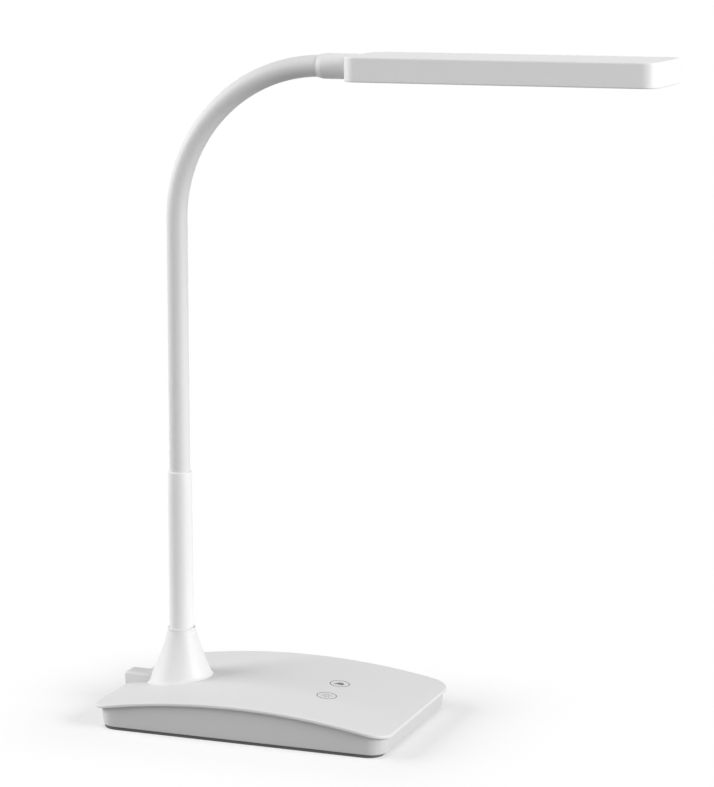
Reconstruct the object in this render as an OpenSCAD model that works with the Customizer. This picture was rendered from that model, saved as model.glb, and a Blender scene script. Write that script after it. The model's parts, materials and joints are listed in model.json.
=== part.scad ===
// Gooseneck LED desk lamp: arched base, flexible neck and a flat light bar.
// +X runs from the neck towards the user's edge of the base, +Y across it, +Z up.
// The origin is on the table, under the middle of the deck.

/* [Base] */
// Length of the deck along X
deck_l = 210; // [190:1:240]
// Width of the deck along Y
deck_w = 137; // [120:1:160]
// Thickness of the deck
deck_t = 2.3; // [1.8:0.1:3]
// Height of the deck's crown above the table
deck_h = 26; // [25:0.5:34]
// Radius of the deck's arch
arch_r = 516; // [420:4:800]
// Corner radius at the front of the deck
deck_front_r = 14.5; // [8:0.5:18]
// Corner radius at the back of the deck
deck_rear_r = 16; // [8:0.5:18]
// How far the deck stands out over the top of the housing below it
deck_overhang = 2.2; // [0.8:0.1:3]
// How far each side wall leans in from its top to its foot
side_draft = 1.1; // [0.5:0.1:2]
// How much further in the housing's rear wall stands than its other walls
rear_setback = 2; // [0:0.25:3]
// Wall of the lower housing
base_wall = 2.2; // [1.6:0.1:3]
// Floor of the lower housing
floor_t = 2.6; // [2.2:0.1:3.2]
// Thickness of the foot mat
mat_t = 2.2; // [1.5:0.1:3]
// How far the foot mat stays inside the housing's foot
mat_inset = 0.8; // [0.3:0.1:3]

/* [Ballast] */
// Length of the steel ballast plate
ballast_l = 152; // [130:1:156]
// Width of the steel ballast plate
ballast_w = 104; // [90:1:108]
// Thickness of the steel ballast plate
ballast_t = 5; // [4:0.25:5.5]

/* [Stem] */
// Distance of the neck's axis in front of the base's rear edge
neck_edge = 38.5; // [36:0.5:46]
// Height of the rigid sleeve's top above the table
stem_top_z = 165; // [130:1:200]
// Diameter of the rigid sleeve at its top
stem_top_d = 16.2; // [15.8:0.1:18]
// Diameter of the rigid sleeve at its foot
stem_foot_d = 16.7; // [16:0.1:18]
// Height of the rigid sleeve's lower end, inside the cone
stem_foot_z = 30; // [28:0.5:36]
// Height of the cone's top
cone_top_z = 57; // [48:0.5:70]
// Diameter of the cone's top
cone_top_d = 18.8; // [18.8:0.1:21]
// Diameter of the cone where it meets the deck
cone_foot_d = 42; // [38:0.5:50]
// How far the cone's side is hollowed from a straight line
cone_sag = 0.8; // [0.4:0.1:1.6]

/* [Gooseneck] */
// Diameter of the flexible sleeve
neck_d = 14; // [13:0.1:14.6]
// Diameter of the steel gooseneck inside it
core_d = 9.8; // [8:0.1:10.4]
// Bore of the steel gooseneck, for the lead
core_bore = 6; // [4.5:0.1:6.4]
// Length of the straight stretch above the rigid sleeve
straight_l = 170.4; // [150:0.1:220]
// Radius of the bow at the top
bow_r = 103; // [80:1:130]
// Clearance in each joint of the neck
joint_gap = 0.25; // [0.2:0.05:0.35]

/* [Head] */
// Length of the lamp head
head_l = 204.5; // [170:0.5:260]
// Width of the lamp head
head_w = 68; // [60:1:80]
// Thickness of the lamp head
head_t = 16; // [15.6:0.1:20]
// Corner radius of the lamp head
head_corner_r = 10; // [6:0.5:14]
// Wall of the lamp head
head_wall = 1.8; // [1.4:0.1:2.4]
// Thickness of the frame round the diffuser
frame_t = 1.6; // [1.2:0.1:2]
// Width of the frame's border inside the head's wall
frame_border = 5; // [4:0.5:8]
// Thickness of the diffuser
diffuser_t = 2; // [1.5:0.1:3]
// Thickness of the LED board
led_board_t = 1.2; // [0.8:0.1:1.6]
// Rows of LEDs across the head
led_rows = 2; // [1:1:3]
// LEDs along each row
led_count = 14; // [8:1:18]

/* [Collar] */
// Diameter of the collar between the neck and the head
collar_d = 16.4; // [16:0.1:18]
// Length of the collar, with its chamfer
collar_l = 26.4; // [24:0.1:34]
// Length of the collar's chamfer
collar_chamfer = 3.4; // [1:0.1:4]
// Diameter of the swivel spigot
spigot_d = 8; // [7:0.1:8.4]
// Radial clearance of the swivel's running fit
swivel_fit = 0.05; // [0.02:0.01:0.1]
// Turn of the head each way
swivel_turn = 90; // [30:5:90]

/* [Controls and inlet] */
// Distance of the touch marks behind the base's front edge
touch_edge = 60.5; // [50:0.5:66]
// Distance of each touch mark from the middle line
touch_y = 14.5; // [10:0.5:17]
// Diameter of a touch spring
touch_d = 9; // [6:0.5:11]
// Width of the inlet housing
inlet_w = 14.5; // [13.5:0.5:18]
// Sideways place of the inlet housing's middle
inlet_y = -3.25; // [-6:0.25:6]
// Height of the inlet housing's top above the table
inlet_top_z = 24; // [23:0.5:26]
// Bore of the power jack
jack_bore = 5.6; // [5.2:0.1:6.2]
// Diameter of the power jack's pin
jack_pin_d = 2; // [1.6:0.1:2.6]

/* [Hidden] */
$fn = 48;

// Finishes
WHITE = [0.93, 0.93, 0.92];
OPAL = [0.96, 0.96, 0.93];
DARK_RUBBER = [0.25, 0.25, 0.26];
STEEL = [0.62, 0.63, 0.65];
BRASS = [0.78, 0.66, 0.36];
GREEN = [0.12, 0.36, 0.22];
BLACK = [0.1, 0.1, 0.1];
RED = [0.62, 0.12, 0.1];
LED_YELLOW = [0.95, 0.85, 0.45];

// Fits between parts
fit = 0.1;
deck_gap = 0.2;
seam = 0.25;
past = 1;

// Base levels
neck_x = neck_edge - deck_l / 2;
touch_x = deck_l / 2 - touch_edge;
floor_z = mat_t + floor_t;
ballast_top = floor_z + ballast_t;
foot_inset = deck_overhang + side_draft;
cavity_inset = foot_inset + base_wall;
arch_fn = 720;

// Screws that hold the base together
cover_screw_d = 3;
ballast_screw_d = 4;
base_head_d = 6.6;
base_head_t = 1.5;
screw_edge = 15;
cover_screw_x = deck_l / 2 - screw_edge;
cover_screw_y = deck_w / 2 - screw_edge;
cover_boss_d = 7.4;
ballast_screw_x = ballast_l / 2 - 12;
ballast_screw_y = ballast_w / 2 - 12;
skirt_t = 1.6;
skirt_h = 4;
screw_spare = 0.5;
cover_grip = 6.5;
cover_pilot_l = 8;
guide_wall = 2.4;
guide_slit = 0.4;
guide_top_l = 14;

// Stem fitting: a flange on the ballast with a hub that holds the steel gooseneck
flange_d = 36;
flange_t = 3;
hub_d = 13;
flange_screw_pcd = 26;
flange_screw_d = 3;
flange_screw_count = 3;
flange_head_d = 5.6;
flange_head_t = 2;
lead_d = 3;
lead_hole_d = 4.4;
lead_hole_z = ballast_top + flange_t + lead_hole_d / 2 + 0.4;
core_seat = 6;
neck_insert = 8;

// Control board, hung under the deck
board_l = 50;
board_w = 56;
board_t = 1.6;
board_top = ballast_top + 4.8;
board_x = touch_x - 4;
board_post_d = 6;
board_post_x = board_l / 2 - 4;
board_post_y = board_w / 2 - 4;
board_screw_d = 2.2;
board_grip = 3.4;
board_pilot_l = 4;
driver_size = [5, 6, 1.6];
controller_size = [7, 7, 1.4];
plug_size = [5, 8, 3];
plug_in = 1;
coil_d = 6;
coil_h = 3.2;
capacitor_d = 5;
capacitor_h = 4;
spring_turns = 4;
spring_wire = 0.8;

// Inlet
inlet_back = deck_l / 2 - 0.6;
inlet_wall = 2;
inlet_foot_z = floor_z + 1.4;
jack_l = 13;
inlet_run = jack_l + inlet_wall;
jack_w = inlet_w - 2 * inlet_wall - 2 * seam;
jack_h = 11;
jack_mid_z = inlet_top_z - inlet_wall - jack_h / 2 - 0.8;
jack_x = -inlet_back + inlet_wall + fit;
jack_depth = 9.5;
mouth_rim = 1.2;
pin_inset = 0.8;
pin_l = jack_l - 1.8;
rest_inset = 1;
rest_x = foot_inset + rear_setback + base_wall / 2 - deck_l / 2;
wire_d = 1.6;
wire_pitch = 3.2;
wire_slack = 3;
wire_side = 26;
wire_rear = 12;
wire_front = 30;
wire_dock = 8;
dock_y = -15;
touch_in = 0.2;

// Neck path: a straight stretch, then a quarter turn, then the collar
STRAIGHT_JOINTS = 6;
BOW_JOINTS = 6;
LAST = STRAIGHT_JOINTS + BOW_JOINTS;
bow_base_z = stem_top_z + straight_l;
axis_z = bow_base_z + bow_r;
bow_end_x = neck_x + bow_r;
straight_pitch = straight_l / STRAIGHT_JOINTS;
bow_pitch = 90 / BOW_JOINTS;
ball_d = neck_d - 0.1;
socket_d = neck_d + 2 * joint_gap;

// Collar and swivel
bow_cover = 1.6;
collar_x = bow_end_x - bow_cover;
collar_end = collar_x + collar_l;
sleeve_seat = 11;
core_reach = 19;
spigot_l = 15;
swivel_gap = 0.2;
ring_t = 1;
ring_d = 11.6;
groove_d = spigot_d - 1.4;
spigot_bore = 5;
pin_d = 1.5;
pin_reach = 5.2;

// Head levels
head_x = collar_end + swivel_gap;
head_end = head_x + head_l;
head_low = axis_z - head_t / 2;
head_top = axis_z + head_t / 2;
frame_top = head_low + frame_t;
block_l = 9.6;
block_w = 22;
block_x = head_x + head_wall + fit;
ring_x = block_x + block_l + swivel_gap;
pin_x = block_x + block_l / 2;
window_x = head_x + 22;
window_end = head_end - head_wall - frame_border;
window_y = head_w / 2 - head_wall - frame_border;
lip = 2;
led_board_z = head_top - head_wall - 4.6;
led_board_x = window_x + 2;
led_board_end = window_end - 2;
led_board_y = window_y - 3;
led_size = [3.5, 2.8, 0.7];
led_end_margin = 17;
led_side_margin = 10;
led_screw_d = 2.5;
led_screw_bite = 2.4;
led_pilot_l = 3;
led_post_d = 6;
led_post_x = 8;
led_post_y = 5;
frame_screw_l = 8;
small_head_d = 4.6;
small_head_t = 1.3;
head_recess = 0.3;
frame_screw_x = block_x + block_l / 2;
frame_screw_y = head_w / 2 - head_wall - 8;

// Height of the deck's upper face at x
function deck_z(x) = deck_h - arch_r + sqrt(arch_r * arch_r - x * x);

// Point on the bow's centre line, a degrees round from its foot
function bow_point(a) = [neck_x + bow_r * (1 - cos(a)), 0, bow_base_z + bow_r * sin(a)];

// Centre of joint k of the neck, counted from 1 at the foot
function pivot(k) = k <= STRAIGHT_JOINTS
    ? [neck_x, 0, stem_top_z + (k - 0.5) * straight_pitch]
    : bow_point((k - STRAIGHT_JOINTS - 0.5) * bow_pitch);

// ---------------------------------------------------------------- shared shapes

// The base's outline, inset all round and set back further at the rear
module base_outline(inset, set_back = rear_setback) {
    x = deck_l / 2 - inset;
    x_rear = set_back - x;
    y = deck_w / 2 - inset;
    rf = deck_front_r - inset;
    rr = deck_rear_r - inset;
    union() {
        for (s = [-1, 1]) {
            translate([x - rf, s * (y - rf)]) circle(r = rf);
            translate([x_rear + rr, s * (y - rr)]) circle(r = rr);
        }
        polygon([
            [x_rear + rr, -y], [x - rf, -y], [x, -y + rf], [x, y - rf],
            [x - rf, y], [x_rear + rr, y], [x_rear, y - rr], [x_rear, -y + rr]
        ]);
    }
}

// Everything under an arch drop below the deck's upper face
module under_arch(drop) {
    translate([0, deck_w, deck_h - arch_r])
        rotate([90, 0, 0])
            cylinder(r = arch_r - drop, h = 2 * deck_w, $fn = arch_fn);
}

// A slab of the base's outline between two drops below the deck's upper face
module arch_slab(inset, top_drop, low_drop, set_back = rear_setback) {
    difference() {
        intersection() {
            linear_extrude(deck_h + past) base_outline(inset, set_back);
            under_arch(top_drop);
        }
        under_arch(low_drop);
    }
}

// Rounded rectangle in plan, from its low corner to its high one
module round_plate(x0, x1, half_w, r) {
    union() {
        translate([x0 + r, -half_w]) square([x1 - x0 - 2 * r, 2 * half_w]);
        translate([x0, -half_w + r]) square([x1 - x0, 2 * (half_w - r)]);
        for (x = [x0 + r, x1 - r], s = [-1, 1])
            translate([x, s * (half_w - r)]) circle(r = r);
    }
}

// Screw with its head downwards at z = 0 and its shank upwards
module screw_up(d, l, head_d, head_t) {
    union() {
        difference() {
            cylinder(d = head_d, h = head_t);
            translate([0, 0, -past]) cylinder(d = d * 0.62, h = past + head_t * 0.55, $fn = 6);
        }
        translate([0, 0, head_t * 0.6]) cylinder(d = d, h = head_t * 0.4 + l);
    }
}

// Ring along z
module ring(d, bore, h) {
    linear_extrude(h) difference() {
        circle(d = d);
        circle(d = bore);
    }
}

function unit(v) = v / norm(v);

// Wire through a list of points, swept with its sides turned from the direction ref
module wire(points, d, ref) {
    sides = 8;
    last = len(points) - 1;
    ring_points = [
        for (i = [0 : last]) let (
            along = unit(unit(points[min(i + 1, last)] - points[max(i, 1) - 1])
                + unit(points[max(i, 1)] - points[max(i, 1) - 1])),
            across = unit(cross(ref, along)),
            up = cross(along, across)
        ) for (j = [0 : sides - 1])
            points[i] + d / 2 * (cos(j * 360 / sides) * across + sin(j * 360 / sides) * up)
    ];
    side_faces = [
        for (i = [0 : last - 1], j = [0 : sides - 1]) let (
            a = i * sides + j,
            b = i * sides + (j + 1) % sides
        ) each [[a, a + sides, b], [b, a + sides, b + sides]]
    ];
    ends = [
        [for (j = [0 : sides - 1]) j],
        [for (j = [sides - 1 : -1 : 0]) last * sides + j]
    ];
    polyhedron(ring_points, concat(side_faces, ends));
}

// ---------------------------------------------------------------- base

// Half section of the cone's outside, run down into the deck round its foot
module cone_section() {
    foot_r = cone_foot_d / 2;
    top_r = cone_top_d / 2;
    low_z = deck_z(neck_x);
    slope = (foot_r - top_r) / (cone_top_z - low_z);
    buried = low_z - deck_z(neck_x - foot_r) + deck_t / 2;
    chord = norm([foot_r - top_r, cone_top_z - low_z]);
    curve_r = chord * chord / (8 * cone_sag) + cone_sag / 2;
    tilt = atan2(cone_top_z - low_z, foot_r - top_r);
    mid = [(foot_r + top_r) / 2, (cone_top_z + low_z) / 2];
    centre = mid + (curve_r - cone_sag) * [sin(tilt), cos(tilt)];
    difference() {
        polygon([
            [0, low_z - buried], [foot_r + slope * buried, low_z - buried], [foot_r, low_z],
            [top_r, cone_top_z], [0, cone_top_z]
        ]);
        translate(centre) circle(r = curve_r, $fn = 360);
    }
}

// Housing of the inlet, open below and towards the cone
module inlet_block(grow) {
    translate([-inlet_back - grow, inlet_y - inlet_w / 2 - grow, inlet_foot_z - grow])
        cube([inlet_run + 2 * grow, inlet_w + 2 * grow, inlet_top_z - inlet_foot_z + grow]);
}

module top_cover() {
    socket_d_low = stem_foot_d + 2 * fit;
    guide_d = socket_d_low + 2 * guide_wall;
    hollow_r = cone_foot_d / 2 - guide_wall;
    deck_low = deck_z(neck_x) - deck_t;
    cavity_top = cone_top_z - guide_top_l;
    guide_low = stem_foot_z - core_seat;
    color(WHITE) difference() {
        union() {
            arch_slab(0, 0, deck_t, 0);
            difference() {
                arch_slab(cavity_inset + seam, deck_t / 2, deck_t + skirt_h);
                linear_extrude(deck_h) base_outline(cavity_inset + seam + skirt_t);
            }
            difference() {
                translate([neck_x, 0, 0]) rotate_extrude($fn = 96) cone_section();
                under_arch(deck_t / 2);
            }
            inlet_block(0);
            for (x = [-1, 1], y = [-1, 1])
                intersection() {
                    translate([x * cover_screw_x, y * cover_screw_y, floor_z + fit])
                        cylinder(d = cover_boss_d, h = deck_h);
                    under_arch(deck_t / 2);
                }
            for (x = [-1, 1], y = [-1, 1])
                intersection() {
                    translate([board_x + x * board_post_x, y * board_post_y, board_top])
                        cylinder(d = board_post_d, h = deck_h);
                    under_arch(deck_t / 2);
                }
        }
        // Socket of the rigid sleeve, and the hollow round it
        translate([neck_x, 0, guide_low - past])
            cylinder(d = socket_d_low, h = cone_top_z - guide_low + 2 * past);
        translate([neck_x, 0, 0]) rotate_extrude($fn = 96) difference() {
            polygon([
                [0, 0], [hollow_r, 0], [hollow_r, deck_low + past],
                [guide_d / 2 + guide_slit, cavity_top], [0, cavity_top]
            ]);
            translate([0, guide_low]) square([guide_d / 2, cone_top_z]);
        }
        // Pocket of the jack, open towards the cone and down to its rest, and its mouth
        translate([jack_x - fit, inlet_y - jack_w / 2 - seam, jack_mid_z - jack_h / 2 - fit])
            cube([inlet_run, jack_w + 2 * seam, jack_h + 2 * fit]);
        translate([rest_x - seam, inlet_y - jack_w / 2 - seam, inlet_foot_z - past])
            cube([inlet_run, jack_w + 2 * seam, jack_mid_z - inlet_foot_z + past]);
        translate([-inlet_back - past, inlet_y, jack_mid_z])
            rotate([0, 90, 0]) cylinder(d = jack_bore + 2 * mouth_rim, h = inlet_wall + 2 * past);
        // Pilot holes
        for (x = [-1, 1], y = [-1, 1]) {
            translate([x * cover_screw_x, y * cover_screw_y, floor_z])
                cylinder(d = cover_screw_d + fit, h = cover_pilot_l);
            translate([board_x + x * board_post_x, y * board_post_y, board_top - past])
                cylinder(d = board_screw_d + fit, h = past + board_pilot_l);
        }
    }
}

// Block on the floor that the power jack rests on
module jack_rest() {
    size = [
        jack_x + jack_l - rest_inset - rest_x, jack_w - 2 * rest_inset,
        jack_mid_z - jack_h / 2 - floor_z
    ];
    translate([rest_x, inlet_y - size[1] / 2, floor_z - floor_t / 2])
        cube(size + [0, 0, floor_t / 2]);
}

module lower_housing() {
    color(WHITE) difference() {
        union() {
            difference() {
                intersection() {
                    hull() {
                        translate([0, 0, mat_t]) linear_extrude(0.01)
                            base_outline(foot_inset, $fn = 32);
                        translate([0, 0, deck_h]) linear_extrude(0.01)
                            base_outline(deck_overhang, $fn = 32);
                    }
                    under_arch(deck_t + deck_gap);
                }
                translate([0, 0, floor_z]) linear_extrude(deck_h) base_outline(cavity_inset);
            }
            jack_rest();
        }
        difference() {
            inlet_block(seam);
            jack_rest();
        }
        for (x = [-1, 1], y = [-1, 1]) {
            translate([x * cover_screw_x, y * cover_screw_y, 0]) {
                cylinder(d = cover_screw_d + 2 * fit, h = deck_h);
                cylinder(d = base_head_d + 2 * seam, h = mat_t + base_head_t + fit);
            }
            translate([x * ballast_screw_x, y * ballast_screw_y, 0]) {
                cylinder(d = ballast_screw_d + 2 * fit, h = deck_h);
                cylinder(d = base_head_d + 2 * seam, h = mat_t + base_head_t + fit);
            }
        }
    }
}

module foot_mat() {
    color(DARK_RUBBER) linear_extrude(mat_t) base_outline(foot_inset + mat_inset);
}

module ballast_plate() {
    color(STEEL) translate([0, 0, floor_z]) difference() {
        linear_extrude(ballast_t) round_plate(-ballast_l / 2, ballast_l / 2, ballast_w / 2, 6);
        for (x = [-1, 1], y = [-1, 1])
            translate([x * ballast_screw_x, y * ballast_screw_y, -past])
                cylinder(d = ballast_screw_d + fit, h = ballast_t + 2 * past);
        for (i = [0 : flange_screw_count - 1])
            translate([neck_x, 0, -past])
                rotate(60 + i * 360 / flange_screw_count)
                    translate([flange_screw_pcd / 2, 0, 0])
                        cylinder(d = flange_screw_d + fit, h = ballast_t + 2 * past);
    }
}

module ballast_screws() {
    color(STEEL) for (x = [-1, 1], y = [-1, 1])
        translate([x * ballast_screw_x, y * ballast_screw_y, mat_t])
            screw_up(ballast_screw_d, floor_t + ballast_t - base_head_t - screw_spare,
                base_head_d, base_head_t);
}

module cover_screws() {
    color(STEEL) for (x = [-1, 1], y = [-1, 1])
        translate([x * cover_screw_x, y * cover_screw_y, mat_t])
            screw_up(cover_screw_d, floor_t + cover_grip - base_head_t, base_head_d, base_head_t);
}

module control_board() {
    color(GREEN) difference() {
        translate([board_x - board_l / 2, -board_w / 2, board_top - board_t])
            cube([board_l, board_w, board_t]);
        for (x = [-1, 1], y = [-1, 1])
            translate([board_x + x * board_post_x, y * board_post_y, board_top - board_t - past])
                cylinder(d = board_screw_d + fit, h = board_t + 2 * past);
    }
}

module board_components() {
    x0 = board_x - board_l / 2;
    color(BLACK) union() {
        // Driver, controller, coil, capacitor and the two lead connectors
        translate([x0 + board_l / 4, -driver_size[1] / 2, board_top]) cube(driver_size);
        translate([x0 + board_l * 0.4, controller_size[1] / 2, board_top]) cube(controller_size);
        translate([x0 + board_l / 5, dock_y, board_top]) cylinder(d = coil_d, h = coil_h);
        translate([x0 + board_l / 4, board_w / 4, board_top])
            cylinder(d = capacitor_d, h = capacitor_h);
        for (y = [0, dock_y])
            translate([x0 + plug_in, y - plug_size[1] / 2, board_top]) cube(plug_size);
    }
}

module board_screws() {
    length = board_t + board_grip;
    color(STEEL) for (x = [-1, 1], y = [-1, 1])
        translate([board_x + x * board_post_x, y * board_post_y, board_top - board_t - small_head_t])
            screw_up(board_screw_d, length, small_head_d, small_head_t);
}

// Contact springs that press against the deck under the touch marks
module touch_springs() {
    color(STEEL) for (s = [-1, 1]) {
        top = deck_z(touch_x + touch_d / 2) - deck_t - 2 * fit;
        pitch = (top - board_top - spring_wire) / spring_turns;
        translate([touch_x, s * touch_y, board_top]) union() {
            for (i = [0 : spring_turns])
                translate([0, 0, spring_wire / 2 + i * pitch])
                    rotate_extrude($fn = 32)
                        translate([touch_d / 2 - spring_wire, 0]) circle(d = spring_wire, $fn = 16);
            for (i = [0 : spring_turns - 1])
                rotate(i * 90) translate([touch_d / 2 - spring_wire, 0, spring_wire / 2 + i * pitch])
                    cylinder(d = spring_wire * 0.8, h = pitch, $fn = 16);
        }
    }
}

module dc_jack() {
    color(BLACK) difference() {
        translate([jack_x, inlet_y - jack_w / 2, jack_mid_z - jack_h / 2])
            cube([jack_l, jack_w, jack_h]);
        translate([jack_x - past, inlet_y, jack_mid_z])
            rotate([0, 90, 0]) cylinder(d = jack_bore, h = jack_depth + past);
        translate([jack_x, inlet_y, jack_mid_z])
            rotate([0, 90, 0]) cylinder(d = jack_pin_d, h = pin_inset + pin_l);
    }
}

module jack_pin() {
    color(BRASS) translate([jack_x + pin_inset, inlet_y, jack_mid_z])
        rotate([0, 90, 0]) cylinder(d = jack_pin_d, h = pin_l);
}

// Two wires from the jack to the control board
module jack_leads() {
    x0 = jack_x + jack_l;
    x1 = board_x - board_l / 2 + plug_in;
    z0 = jack_mid_z - wire_pitch / 2;
    z1 = ballast_top + wire_d;
    z2 = board_top + plug_size[2] / 2;
    color(RED) for (y = [-wire_pitch / 2, wire_pitch / 2])
        wire([
            [x0 + touch_in, inlet_y + y, z0], [x0 + wire_slack, inlet_y + y, z0],
            [neck_x - wire_rear, y - wire_side, z1], [neck_x + wire_front, y - wire_side, z1],
            [x1 - wire_dock, dock_y + y, z2], [x1 - touch_in, dock_y + y, z2]
        ], wire_d, [0, 0, 1]);
}

module stem_fitting() {
    color(STEEL) translate([neck_x, 0, 0]) difference() {
        union() {
            translate([0, 0, ballast_top]) cylinder(d = flange_d, h = flange_t);
            translate([0, 0, ballast_top]) cylinder(d = hub_d, h = stem_foot_z - ballast_top);
        }
        translate([0, 0, ballast_top + flange_t]) cylinder(d = core_bore, h = stem_foot_z);
        translate([0, 0, stem_foot_z - core_seat])
            cylinder(d = core_d + 2 * swivel_fit, h = core_seat + past);
        translate([0, 0, lead_hole_z]) rotate([0, 90, 0]) cylinder(d = lead_hole_d, h = hub_d);
        for (i = [0 : flange_screw_count - 1])
            rotate(60 + i * 360 / flange_screw_count)
                translate([flange_screw_pcd / 2, 0, ballast_top - past])
                    cylinder(d = flange_screw_d + 2 * fit, h = flange_t + 2 * past);
    }
}

module fitting_screws() {
    color(STEEL) translate([neck_x, 0, 0])
        for (i = [0 : flange_screw_count - 1])
            rotate(60 + i * 360 / flange_screw_count)
                translate([flange_screw_pcd / 2, 0, ballast_top + flange_t + flange_head_t])
                    mirror([0, 0, 1])
                        screw_up(flange_screw_d, flange_t + ballast_t - screw_spare,
                            flange_head_d, flange_head_t);
}

module stem_sleeve() {
    color(WHITE) translate([neck_x, 0, 0]) difference() {
        translate([0, 0, stem_foot_z])
            cylinder(d1 = stem_foot_d, d2 = stem_top_d, h = stem_top_z - stem_foot_z);
        translate([0, 0, stem_foot_z - past])
            cylinder(d = core_d + 2 * swivel_fit, h = stem_top_z - stem_foot_z + 2 * past);
        translate([0, 0, stem_top_z - neck_insert])
            cylinder(d = neck_d + fit, h = neck_insert + past);
    }
}

// Round lead from the control board up the rigid part of the neck
module neck_lead() {
    x1 = board_x - board_l / 2 + plug_in;
    z1 = board_top + plug_size[2] / 2 + touch_in;
    color(WHITE)
        wire([
            [x1 - touch_in, 0, z1], [x1 - wire_dock, 0, z1],
            [neck_x + flange_d / 2, 0, lead_hole_z], [neck_x + lead_d / 2, 0, lead_hole_z],
            [neck_x, 0, lead_hole_z + lead_d / 2],
            [neck_x, 0, stem_top_z]
        ], lead_d, [0, 1, 0]);
}

// ---------------------------------------------------------------- neck

// Half section of a straight link: a ball end at the joint above, a socket at the joint below
module link_section(length, d, bore, socketed) {
    difference() {
        union() {
            translate([bore / 2, 0]) square([(d - bore) / 2, length]);
            translate([0, length]) intersection() {
                translate([bore / 2, 0]) square([(d - bore) / 2, ball_d]);
                circle(d = ball_d);
            }
        }
        if (socketed) circle(d = socket_d);
    }
}

// Straight link from one point of the neck to the next joint
module straight_link(from, to, d, bore, socketed) {
    step = to - from;
    translate(from) rotate([0, atan2(step[0], step[2]), 0])
        rotate_extrude() link_section(norm(step), d, bore, socketed);
}

// Last link: the end of the bow, and a straight tail in the collar
module tail_link(tail, d, bore) {
    turn = bow_pitch / 2;
    difference() {
        union() {
            translate([bow_end_x, 0, bow_base_z]) rotate([90, 0, 0]) rotate(90)
                rotate_extrude(angle = turn, $fn = 240) translate([bow_r, 0]) difference() {
                    circle(d = d, $fn = 48);
                    circle(d = bore, $fn = 48);
                }
            translate([bow_end_x, 0, axis_z]) rotate([0, 90, 0]) ring(d, bore, tail);
        }
        translate(pivot(LAST)) sphere(d = socket_d);
    }
}

// Link k of a tube round the neck's path; link 0 starts inside the stem
module neck_link(k, foot_z, tail, d, bore) {
    if (k == LAST) tail_link(tail, d, bore);
    else straight_link(k == 0 ? [neck_x, 0, foot_z] : pivot(k), pivot(k + 1), d, bore, k > 0);
}

module neck_core(k) {
    color(STEEL) neck_link(k, stem_foot_z - core_seat, core_reach - bow_cover, core_d, core_bore);
}

module neck_sleeve(k) {
    color(WHITE) neck_link(k, stem_top_z - neck_insert, sleeve_seat - bow_cover, neck_d,
        core_d + 2 * swivel_fit);
}

// ---------------------------------------------------------------- collar and swivel

module collar() {
    r = collar_d / 2;
    mouth_r = neck_d / 2 + fit;
    sp = spigot_d / 2;
    spigot_end = collar_l + spigot_l;
    groove_x = ring_x - collar_x - fit;
    color(WHITE) translate([collar_x, 0, axis_z]) rotate([0, 90, 0]) difference() {
        rotate_extrude($fn = 96) polygon([
            [mouth_r, 0], [mouth_r + 0.2, 0], [r, collar_chamfer], [r, collar_l],
            [sp, collar_l], [sp, groove_x], [groove_d / 2, groove_x],
            [groove_d / 2, groove_x + ring_t + 2 * fit], [sp, groove_x + ring_t + 2 * fit],
            [sp, spigot_end], [spigot_bore / 2, spigot_end], [spigot_bore / 2, core_reach + fit],
            [core_d / 2 + swivel_fit, core_reach + fit], [core_d / 2 + swivel_fit, sleeve_seat + fit],
            [mouth_r, sleeve_seat + fit]
        ]);
        translate([0, 0, pin_x - collar_x])
            rotate([0, -90, 0]) cylinder(d = pin_d, h = spigot_d, $fn = 24);
    }
}

// Pin in the spigot that stops the head at each end of its turn
module stop_pin() {
    color(STEEL) translate([pin_x, 0, axis_z + spigot_bore / 2 + 0.2])
        cylinder(d = pin_d, h = pin_reach - spigot_bore / 2 - 0.2, $fn = 24);
}

module retaining_ring() {
    color(STEEL) translate([ring_x, 0, axis_z]) rotate([0, 90, 0])
        difference() {
            cylinder(d = ring_d, h = ring_t);
            translate([0, 0, -past]) cylinder(d = groove_d + fit, h = ring_t + 2 * past);
            translate([0, -groove_d / 2 * 0.7, -past]) cube([ring_d, groove_d * 0.7, ring_t + 2 * past]);
        }
}

module swivel_block() {
    slot_r = pin_reach + 0.2;
    slot_l = pin_d + 0.5;
    slot_turn = 2 * (swivel_turn + asin((pin_d / 2 + 0.15) / (spigot_d / 2)));
    block_h = head_top - head_wall - frame_top - 2 * fit;
    color(WHITE) difference() {
        translate([block_x, -block_w / 2, frame_top + fit]) cube([block_l, block_w, block_h]);
        translate([block_x - past, 0, axis_z])
            rotate([0, 90, 0]) cylinder(r = spigot_d / 2 + swivel_fit, h = block_l + 2 * past);
        translate([pin_x - slot_l / 2, 0, axis_z]) rotate([0, 90, 0]) rotate(180 - slot_turn / 2)
            rotate_extrude(angle = slot_turn, $fn = 96) translate([spigot_d / 2 - 0.5, 0])
                square([slot_r - spigot_d / 2 + 0.5, slot_l]);
    }
}

// ---------------------------------------------------------------- head

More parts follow.
